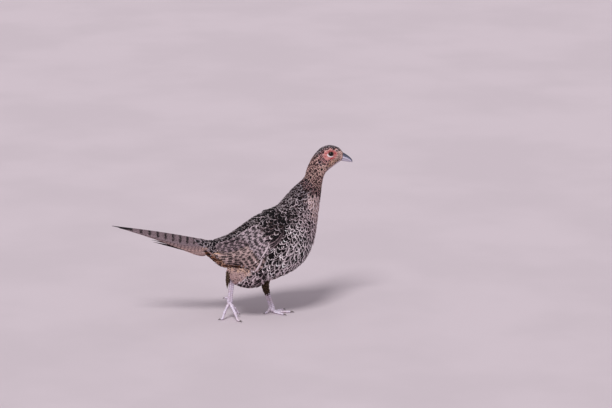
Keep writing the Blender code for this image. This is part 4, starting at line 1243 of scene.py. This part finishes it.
def skinMaterial():
    finish, tree, shader = newFinish("skin", 0.5, 0.0, specular=0.4)
    base = attribute(tree, "tone")
    bare = attribute(tree, "bare", "Fac")
    fine = grainOf(tree, 1500, 3.0)
    pores = cellsOf(tree, 1400)
    vary = ramp(tree, fine, 0.2, 0.8, 0.72, 1.2)
    shade = tree.nodes.new("ShaderNodeCombineColor")
    for k in range(3):
        feed(tree, shade.inputs[k], vary)
    feed(tree, shader.inputs["Base Color"], blend(tree, 1.0, base, shade.outputs[0], "MULTIPLY"))
    feed(tree, shader.inputs["Roughness"], ramp(tree, bare, 0.0, 1.0, 0.85, 0.42))
    bumpOf(tree, shader, math2(tree, "ADD", fine, pores), 0.6, 0.0002)
    return finish


# Eyeballs, with a clear bulge over the iris
eyeLook = {
    "pupil": 2.8,        # mm from the axis
    "iris": 4.5,
    "cornea": 0.35,      # mm that it stands out
    "irisInner": (0.03, 0.015, 0.006),
    "irisOuter": (0.075, 0.04, 0.014),
    "white": (0.03, 0.016, 0.014),
}


def makeEye(word, centre, axis, finish):
    rows, columns = 64, 64
    pole = unit(axis)
    side = unit(np.cross(pole, np.array([0.0, 0.0, 1.0])))
    other = np.cross(pole, side)
    theta = np.linspace(0.004, math.pi - 0.004, rows) ** 1.0
    phi = np.linspace(0, 2 * math.pi, columns, endpoint=False)
    theta, phi = np.meshgrid(theta, phi, indexing="ij")
    swell = eyeLook["cornea"] * smooth(-theta, -0.62, -0.2)
    radius = eyePlace["radius"] + swell
    spot = (pole * np.cos(theta)[..., None] + side * (np.sin(theta) * np.cos(phi))[..., None]
            + other * (np.sin(theta) * np.sin(phi))[..., None])
    rings = centre + spot * radius[..., None]
    piece = tubePiece("eye_" + word + "_ball", rings, finish, None)
    fromAxis = np.where(theta < math.pi / 2, eyePlace["radius"] * np.sin(theta), 9.0)
    addPointValues(piece, "fromAxis", fromAxis.reshape(-1))
    addPointValues(piece, "ray", np.stack((np.cos(phi), np.sin(phi), 0 * phi), axis=-1).reshape(-1, 3))
    return piece


def eyeMaterial():
    finish, tree, shader = newFinish("eye", 0.2, 0.0, coat=0.45, specular=0.05)
    fromAxis = attribute(tree, "fromAxis", "Fac")
    rays = tree.nodes.new("ShaderNodeTexNoise")
    rays.inputs["Scale"].default_value = 9.0
    rays.inputs["Detail"].default_value = 4.0
    feed(tree, rays.inputs["Vector"], attribute(tree, "ray", "Vector"))
    depth = ramp(tree, fromAxis, eyeLook["pupil"], eyeLook["iris"])
    iris = blend(tree, depth, (*eyeLook["irisInner"], 1), (*eyeLook["irisOuter"], 1))
    iris = blend(tree, ramp(tree, rays.outputs["Fac"], 0.35, 0.7, 0.0, 0.6), iris, (0.03, 0.016, 0.008, 1))
    colour = blend(tree, ramp(tree, fromAxis, eyeLook["pupil"] - 0.12, eyeLook["pupil"] + 0.12),
                   (0.002, 0.002, 0.002, 1), iris)
    colour = blend(tree, ramp(tree, fromAxis, eyeLook["iris"] - 0.3, eyeLook["iris"]), colour,
                   (*eyeLook["white"], 1))
    feed(tree, shader.inputs["Base Color"], colour)
    return finish


# Bill: ridge x and z, line of the mouth x and z, under edge x and z, half width
billRows = np.array((
    (217.6, 320.6, 216.0, 309.6, 215.4, 303.6, 6.6),
    (222.5, 318.0, 221.0, 308.6, 220.4, 302.7, 6.1),
    (228.0, 314.2, 226.4, 306.5, 225.8, 301.8, 5.0),
    (233.0, 309.8, 231.2, 303.9, 230.2, 300.8, 3.6),
    (236.6, 305.4, 234.9, 301.2, 233.2, 300.2, 2.2),
    (238.3, 300.8, 237.1, 298.9, 235.2, 299.9, 0.8),
), float)
billDetail = {
    "upperEnd": 5.0,
    "lowerEnd": 4.15,
    "rows": 90,
    "columns": 120,
    "overhang": 0.5,        # mm that the upper half's edge hangs over the lower
    "nostril": (222.6, 313.4),
    "nostrilSlant": 32,
    "flap": 0.7,            # mm that the cover over the nostril stands out
    "tipRound": 0.4,        # share of a row over which the ends close
}


def makeBillHalf(name, upper, finish):
    p = billDetail
    end = p["upperEnd"] if upper else p["lowerEnd"]
    t, a = np.meshgrid(np.linspace(-0.25, end, p["rows"]),
                       np.linspace(0, 2 * math.pi, p["columns"], endpoint=False), indexing="ij")
    row = between(billRows, t)
    ridge, mouth, chin = row[..., 0:2], row[..., 2:4], row[..., 4:6]
    lap = np.array([0.0, -p["overhang"] if upper else -0.1])
    flat = mouth + lap * smooth(-t, -4.9, -3.8)[..., None]
    rim = ridge if upper else chin
    share = 0.10
    middle = flat + (rim - flat) * share
    sine, cosine = np.sin(a), np.cos(a)
    edge = np.where((sine > 0)[..., None], rim, flat)
    xz = middle + (edge - middle) * (np.abs(sine) ** 1.05)[..., None]
    closing = np.sqrt(np.clip((end - t) / p["tipRound"], 0.02, 1))
    xz = middle + (xz - middle) * closing[..., None]
    wide = np.maximum(row[..., 6], 0.35) * (1.0 if upper else 0.86 - 0.07 * np.clip(t, 0, 5)) * closing
    y = wide * signedPower(cosine, 0.85)
    points = np.stack((xz[..., 0], y, xz[..., 1]), axis=-1)
    if upper:
        slant = math.radians(p["nostrilSlant"])
        dx, dz = points[..., 0] - p["nostril"][0], points[..., 2] - p["nostril"][1]
        along = dx * math.cos(slant) - dz * math.sin(slant)
        above = dx * math.sin(slant) + dz * math.cos(slant)
        cover = np.exp(-(along / 3.0) ** 4 - ((above - 0.75) / 1.1) ** 4)
        slit = np.exp(-(along / 2.4) ** 4 - ((above + 0.75) / 0.45) ** 2)
        points[..., 1] += np.sign(y) * (p["flap"] * cover - 0.9 * slit) * (np.abs(y) > 1)
    else:
        slit = np.zeros(t.shape)
    piece = tubePiece(name, points, finish, 60)
    addPointValues(piece, "slit", slit.reshape(-1))
    height = np.clip((points[..., 2] - flat[..., 1]) / np.maximum(np.abs(rim[..., 1] - flat[..., 1]), 0.4), -1, 1)
    addPointValues(piece, "level", np.stack((np.abs(height), np.clip(t / end, 0, 1),
                                             np.full(t.shape, 1.0 if upper else 0.0)), axis=-1).reshape(-1, 3))
    return piece


billLook = {
    "ridge": (0.045, 0.05, 0.08),
    "side": (0.17, 0.18, 0.27),
    # the pale band near the mouth line: partly the horn's own pale colour, partly painted highlight
    "edge": (0.64, 0.59, 0.72),
    "tip": (0.05, 0.045, 0.06),
    "under": (0.36, 0.32, 0.38),
    # mouth: painted shade in the gap between the halves and in the nostril slit
    "mouth": (0.06, 0.045, 0.055),
}


def billMaterial():
    finish, tree, shader = newFinish("bill horn", 0.32, 0.0, coat=0.25, specular=0.5)
    height, along, isUpper = parts(tree, attribute(tree, "level", "Vector"))
    streak = grainOf(tree, 700, 4.0, 0.6, stretch=(0.35, 1.6, 1.0))
    wob = math2(tree, "MULTIPLY", math2(tree, "SUBTRACT", streak, 0.5), 0.35)
    h = math2(tree, "ADD", height, wob)
    upper = blend(tree, ramp(tree, h, 0.3, 0.5), (*billLook["edge"], 1), (*billLook["side"], 1))
    upper = blend(tree, ramp(tree, h, 0.55, 0.78), upper, (*billLook["ridge"], 1))
    lower = blend(tree, ramp(tree, h, 0.5, 0.95), (*billLook["edge"], 1), (*billLook["under"], 1))
    colour = blend(tree, isUpper, lower, upper)
    tipShare = ramp(tree, math2(tree, "ADD", along, wob), 0.72, 1.0, 0.0, 0.85)
    tipShare = math2(tree, "MULTIPLY", tipShare, ramp(tree, isUpper, 0.0, 1.0, 0.6, 1.0))
    colour = blend(tree, tipShare, colour, (*billLook["tip"], 1))
    # painted shade along the mouth line and in the nostril slit
    colour = blend(tree, ramp(tree, height, 0.02, 0.12, 0.75, 0.0), colour, (*billLook["mouth"], 1))
    colour = blend(tree, ramp(tree, attribute(tree, "slit", "Fac"), 0.3, 0.7, 0.0, 0.9), colour,
                   (*billLook["mouth"], 1))
    feed(tree, shader.inputs["Base Color"], colour)
    feed(tree, shader.inputs["Roughness"], ramp(tree, streak, 0.2, 0.8, 0.24, 0.5))
    bumpOf(tree, shader, streak, 0.35, 0.0002)
    return finish


# Legs: heel and foot joint, the shank's half sizes, toes and claws
legShape = {
    "heels": {"right": (-5, -26, 97), "left": (67, 25.5, 60)},
    "joints": {"right": (-8.5, -10, 34), "left": (81, 15, 8.5)},
    "deep": 4.8,
    "wide": 3.3,
    "scutes": 14,
    "scuteRise": 0.38,
    "rowsPerScute": 8,
    "columns": 40,
}
toePlaces = {
    "right": {
        "middle": ((-5, -16, 26), (0, -24, 14), (3.2, -29, 3.6), (7, -34, 1.6), (11, -39, 0.9)),
        "outer": ((-13, -11, 26), (-19, -12, 14), (-22.6, -13, 3.4), (-27, -13.6, 1.5), (-32.5, -14, 0.9)),
        "inner": ((-3, -8, 27), (3, -5, 19), (8, -1, 11), (11, 1, 7.6), (15, 3.5, 3.2)),
        "hind": ((-12, -11.5, 43), (-14.5, -11, 43.5), (-17, -10.5, 43.6), (-18.5, -10.3, 43.6),
                 (-22, -9.5, 41.5)),
    },
    "left": {
        "middle": ((88, 14, 3.0), (99, 12.5, 2.3), (110, 11, 2.0), (116, 10, 1.7), (124, 9, 1.0)),
        "outer": ((87, 17.5, 2.8), (95, 23, 2.2), (102, 28, 1.9), (105.5, 30.5, 1.6), (112, 34.5, 1.0)),
        "inner": ((86, 10, 2.8), (92, 3.5, 2.2), (97, -2, 1.9), (100, -5, 1.6), (105, -10, 1.0)),
        "hind": ((74, 13.5, 6.8), (70, 12, 3.6), (67, 11, 1.9), (65.5, 10.5, 1.5), (61.5, 9.5, 1.0)),
    },
}
toeThick = {"middle": 3.1, "outer": 2.9, "inner": 2.8, "hind": 2.3}


def plates(along, edge=0.16):
    # height of overlapping plates, one a unit of along: a slope up to a lip, then a groove
    x = along % 1.0
    return (0.45 + 0.55 * x) * smooth(x, 0.0, edge) * smooth(-x, -1.0, -(1 - edge * 0.6))


def makeShank(side):
    p = legShape
    heel, joint = np.array(p["heels"][side], float), np.array(p["joints"][side], float)
    along = joint - heel
    across = unit(np.cross(along, np.array([1.0, 0.0, 0.0])))
    front = unit(np.cross(across, along))
    front = front * np.sign(front[0])
    rows = p["scutes"] * p["rowsPerScute"]
    s, a = np.meshgrid(np.linspace(0, 1, rows), np.linspace(0, 2 * math.pi, p["columns"], endpoint=False),
                       indexing="ij")
    ends = 1 + 0.28 * np.exp(-((s - 0.02) / 0.09) ** 2) + 0.2 * np.exp(-((s - 0.93) / 0.08) ** 2)
    turn = (a + math.pi) % (2 * math.pi) - math.pi
    half = np.where(turn > 0, 0.5, 0.0)
    frontPlates = plates(s * p["scutes"] + half) * smooth(np.abs(turn), 0.02, 0.16)
    backPlates = plates(s * p["scutes"] * 1.25 + half) * smooth(math.pi - np.abs(turn), 0.02, 0.16)
    seam = smooth(np.abs(np.abs(turn) - 1.62), 0.03, 0.15)
    cover = np.where(np.abs(turn) < 1.62, frontPlates, backPlates * 0.7) * seam
    grow = p["scuteRise"] * cover
    deep, wide = p["deep"] * ends * 0.97 + grow, p["wide"] * ends * 0.97 + grow
    # a shallow groove down each flank, where the tendons part from the bone
    wide = wide - 0.35 * np.exp(-((np.abs(turn) - 1.75) / 0.35) ** 2)
    rings = (heel + along * s[..., None] + front * (deep * np.cos(a))[..., None]
             + across * (wide * np.sin(a))[..., None])
    piece = tubePiece("leg_" + side, rings, None, 40)
    addPointValues(piece, "plate", cover.reshape(-1))
    return piece


def makeToe(points, radius):
    table = np.array(points, float)
    last = len(points) - 1
    t, a = np.meshgrid(np.linspace(0, last, last * 26), np.linspace(0, 2 * math.pi, 26, endpoint=False),
                       indexing="ij")
    here = between(table, t)
    along = unit(between(table, t + 0.1) - between(table, t - 0.1))
    side = unit(np.cross(along, np.array([0.0, 0.0, 1.0])))
    up = np.cross(side, along)
    swell = 1 + 0.11 * np.cos(2 * math.pi * t)
    taper = 1 - 0.35 * t / last
    size = radius * swell * taper
    over = np.sin(a)
    cover = plates(t * 4.6) * smooth(over, -0.15, 0.15)
    pads = 0.28 * np.cos(2 * math.pi * t) * smooth(-over, 0.1, 0.6)
    grow = size * 0.96 + 0.26 * cover + pads
    rings = here + side * (grow * np.cos(a))[..., None] + up * (grow * over)[..., None]
    piece = tubePiece("toe", rings, None, 40)
    addPointValues(piece, "plate", (cover * 0.9 + 0.3 * smooth(-over, 0.0, 0.4)).reshape(-1))
    return piece


def makeLeg(side, finish):
    heel, joint = (np.array(legShape[key][side], float) for key in ("heels", "joints"))
    leg = makeShank(side)
    run = unit(joint - heel)
    pad = ball("pad", joint + run * 0.5, 4.7, 40, 26)
    addPointValues(pad, "plate", np.full(len(pad.data.vertices), 0.6))
    pieces = [pad]
    for name, places in toePlaces[side].items():
        start = joint + (heel - joint) * (0.14 if name == "hind" else 0.0)
        pieces.append(makeToe((tuple(start),) + places[:-1], toeThick[name]))
    combine(leg, pieces, "UNION")
    flat = pointsOf(leg)
    flat[:, 2] = np.maximum(flat[:, 2], 0.0)
    leg.data.vertices.foreach_set("co", ((flat + standAt) * mm).astype(np.float32).ravel())
    leg.data.materials.clear()
    leg.data.materials.append(finish)
    leg.data.shade_smooth()
    leg.data.set_sharp_from_angle(angle=math.radians(60))
    leg.data.update()
    return leg


legLook = {
    "plate": (0.86, 0.78, 0.93),
    "groove": (0.33, 0.25, 0.31),
    "warm": (0.74, 0.58, 0.62),
    "dirt": (0.36, 0.28, 0.27),
}


def legMaterial():
    finish, tree, shader = newFinish("leg skin", 0.5, 0.0, specular=0.4)
    plate = attribute(tree, "plate", "Fac")
    cells = cellsOf(tree, 900, "DISTANCE_TO_EDGE")
    patch = grainOf(tree, 120, 3.0)
    fine = grainOf(tree, 1800, 2.0)
    crack = ramp(tree, cells, 0.0, 0.12, 0.55, 0.0)
    colour = blend(tree, ramp(tree, patch, 0.4, 0.7, 0.0, 0.6), (*legLook["plate"], 1), (*legLook["warm"], 1))
    colour = blend(tree, ramp(tree, plate, 0.1, 0.5, 0.85, 0.0), colour, (*legLook["groove"], 1))
    colour = blend(tree, math2(tree, "MULTIPLY", crack, ramp(tree, plate, 0.2, 0.9, 0.8, 0.3)), colour,
                   (*legLook["groove"], 1))
    colour = blend(tree, ramp(tree, fine, 0.5, 0.8, 0.0, 0.3), colour, (*legLook["dirt"], 1))
    feed(tree, shader.inputs["Base Color"], colour)
    feed(tree, shader.inputs["Roughness"], ramp(tree, fine, 0.2, 0.8, 0.38, 0.62))
    bumpOf(tree, shader, math2(tree, "SUBTRACT", fine, crack), 0.5, 0.00015)
    return finish


def makeClaw(side, name, finish):
    places = toePlaces[side][name]
    root, tip = np.array(places[-2], float), np.array(places[-1], float)
    table = np.array(places[:-1], float)
    last = len(places) - 2
    toeRun = unit(root - between(table, np.array([last - 0.1]))[0])
    radius = toeThick[name] * 0.64
    s, a = np.meshgrid(np.linspace(0, 1, 26), np.linspace(0, 2 * math.pi, 24, endpoint=False), indexing="ij")
    begin = root - toeRun * 0.8
    here = begin + (tip - begin) * s[..., None]
    here[..., 2] += 0.9 * np.sin(math.pi * s)
    along = unit(toeRun * (1 - s[..., None]) + unit(tip - root) * s[..., None])
    sideWay = unit(np.cross(along, np.array([0.0, 0.0, 1.0])))
    up = np.cross(sideWay, along)
    size = radius * (1 - s) ** 0.75 * 0.94 + 0.16
    here[..., 2] = np.maximum(here[..., 2], size + 0.05)
    under = np.where(np.sin(a) < 0, 0.72, 1.0)
    rings = here + sideWay * (size * 0.85 * np.cos(a))[..., None] + up * (size * under * np.sin(a))[..., None]
    rings[..., 2] = np.maximum(rings[..., 2], 0.05)
    piece = tubePiece(f"claw_{side}_{name}_horn", rings, finish, 60)
    addPointValues(piece, "tipShare", s.reshape(-1))
    return piece


def clawMaterial():
    finish, tree, shader = newFinish("claw horn", 0.35, 0.0, coat=0.15, specular=0.5)
    streak = grainOf(tree, 1400, 3.0)
    share = math2(tree, "ADD", attribute(tree, "tipShare", "Fac"), math2(tree, "MULTIPLY", streak, 0.3))
    colour = blend(tree, ramp(tree, share, 0.3, 1.1), (0.20, 0.165, 0.16, 1), (0.07, 0.055, 0.055, 1))
    feed(tree, shader.inputs["Base Color"], colour)
    feed(tree, shader.inputs["Roughness"], ramp(tree, streak, 0.2, 0.8, 0.28, 0.5))
    bumpOf(tree, shader, streak, 0.3, 0.0001)
    return finish


# Floor, light and camera
studio = {
    "floorColour": (0.63, 0.545, 0.585),
    "flat": 15.0,              # metres of level floor from the middle
    "curve": 7.0,              # radius with which its far edge turns up
    "worldColour": (0.86, 0.84, 0.90),
    "worldStrength": 0.52,
    "sunStrength": 2.1,
    "sunToward": (-0.28, -0.57, 0.78),
    "sunSoftness": 16.0,       # degrees across
}
cameraView = {
    "azimuth": -12.0,
    "elevation": 14.0,
    "distance": 7.0,
    "right": 0.14235,          # the aim, to the right of and above the origin
    "up": 0.22133,
    "metresPerPixel": 0.00195,
    "pictureWidth": 612,
}


def makeStudio():
    # a round floor whose far edge turns up, so that no horizon shows
    p = studio
    profile = [(r, 0.0) for r in (0.0, 0.3, 0.8, 2, 5, 10, p["flat"])]
    for k in range(1, 19):
        turn = math.radians(k * 5)
        profile.append((p["flat"] + p["curve"] * math.sin(turn), p["curve"] * (1 - math.cos(turn))))
    bm = bmesh.new()
    around = 96
    rings = [[bm.verts.new((r * math.cos(2 * math.pi * k / around), r * math.sin(2 * math.pi * k / around), z))
              for k in range(around)] for r, z in profile[1:]]
    middle = bm.verts.new((0, 0, 0))
    for k in range(around):
        bm.faces.new((middle, rings[0][k], rings[0][(k + 1) % around]))
        for low, high in zip(rings, rings[1:]):
            bm.faces.new((low[k], high[k], high[(k + 1) % around], low[(k + 1) % around]))
    mesh = bpy.data.meshes.new("floor")
    bm.to_mesh(mesh)
    bm.free()
    mesh.shade_smooth()
    floor = bpy.data.objects.new("floor", mesh)
    bpy.context.scene.collection.objects.link(floor)
    finish, tree, shader = newFinish("floor", 0.85, 0.0, specular=0.2)
    soft = grainOf(tree, 3.0, 3.0)
    grit = grainOf(tree, 260, 4.0)
    low = tuple(v * 0.97 for v in p["floorColour"])
    high = tuple(min(1, v * 1.03) for v in p["floorColour"])
    colour = blend(tree, ramp(tree, soft, 0.35, 0.65), (*low, 1), (*high, 1))
    feed(tree, shader.inputs["Base Color"], colour)
    bumpOf(tree, shader, grit, 0.15, 0.0006)
    mesh.materials.append(finish)

    world = bpy.data.worlds.new("studio")
    world.use_nodes = True
    sky = world.node_tree.nodes["Background"]
    sky.inputs["Color"].default_value = (*p["worldColour"], 1)
    sky.inputs["Strength"].default_value = p["worldStrength"]
    bpy.context.scene.world = world
    lamp = bpy.data.lights.new("key", "SUN")
    lamp.energy = p["sunStrength"]
    lamp.angle = math.radians(p["sunSoftness"])
    holder = bpy.data.objects.new("key", lamp)
    holder.rotation_euler = Vector(p["sunToward"]).to_track_quat("Z", "Y").to_euler()
    bpy.context.scene.collection.objects.link(holder)


def makeCamera():
    p = cameraView
    az, el = math.radians(p["azimuth"]), math.radians(p["elevation"])
    back = Vector((math.sin(az) * math.cos(el), -math.cos(az) * math.cos(el), math.sin(el)))
    right = Vector((math.cos(az), math.sin(az), 0))
    up = Vector((-math.sin(az) * math.sin(el), math.cos(az) * math.sin(el), math.cos(el)))
    lens = bpy.data.cameras.new("camera")
    lens.sensor_width = 36
    lens.lens = 36 * p["distance"] / (p["pictureWidth"] * p["metresPerPixel"])
    lens.clip_end = 100
    camera = bpy.data.objects.new("camera", lens)
    camera.location = back * p["distance"] + right * p["right"] + up * p["up"] + Vector(standAt) * mm
    turn = Matrix((right, up, back)).transposed()
    camera.rotation_euler = turn.to_euler()
    bpy.context.scene.collection.objects.link(camera)
    bpy.context.scene.camera = camera
    bpy.context.scene.view_settings.view_transform = "Standard"


def settle(piece, slot, *nodes):
    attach(piece, "root")
    if nodes:
        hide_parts(*nodes)


slotOf = {"tail": "tail plumage", "torso": "mottled plumage", "neck": "neck plumage", "head": "head plumage"}


def main():
    makeCamera()
    makeStudio()
    finishes = {node: plumageMaterial(slotOf[node]) for node in slotOf}
    wingFinish = plumageMaterial("wing feathers", barbs=90)
    tailFinish = plumageMaterial("tail feathers", barbs=260, paintedRootShade=0)
    thighFinish = plumageMaterial("thigh plumage")
    for piece, node in makeBodyCoat(finishes):
        settle(piece, slotOf[node])
    print("body coat done")
    for side, word in ((-1, "right"), (1, "left")):
        settle(makeWing(side, wingFinish), "wing plumage", "wing_" + word)
    settle(makeTail(tailFinish), "tail plumage", "tail")
    print("wings and tail done")

    settle(limbCoat("thighFeathers_right", thighTables["right"], thighFinish, 0, rightThighLook,
                    lambda here: 4.6 + 2.6 * smooth(flankLine(here), -3, 3), tilt=25), "thigh plumage")
    settle(limbCoat("thighFeathers_left", sockedThigh, thighFinish, 1, leftThighLook,
                    lambda here: np.full(here.shape[:-1], 3.8)), "thigh plumage")
    settle(limbCoat("heelTuft", heelTuft, thighFinish, 2, leftThighLook,
                    lambda here: np.full(here.shape[:-1], 3.0)), "thigh plumage")
    eyes = eyeFrames()
    settle(makeSkin(skinMaterial(), eyes), "mottled plumage", "torso", "neck", "head", "thigh_left",
           "thigh_right")
    print("skin done")
    eyeFinish, horn = eyeMaterial(), billMaterial()
    for word, (centre, axis) in eyes.items():
        settle(makeEye(word, centre, axis, eyeFinish), "eye", "eye_" + word)
    settle(makeBillHalf("bill_upper_horn", True, horn), "bill horn", "bill_upper")
    settle(makeBillHalf("bill_lower_horn", False, horn), "bill horn", "bill_lower")
    legFinish, clawFinish = legMaterial(), clawMaterial()
    for side in ("right", "left"):
        settle(makeLeg(side, legFinish), "leg skin", "tarsus_" + side, "foot_" + side)
        for name in toePlaces[side]:
            settle(makeClaw(side, name, clawFinish), "claw horn", f"claw_{side}_{name}")
    print("legs done")


main()
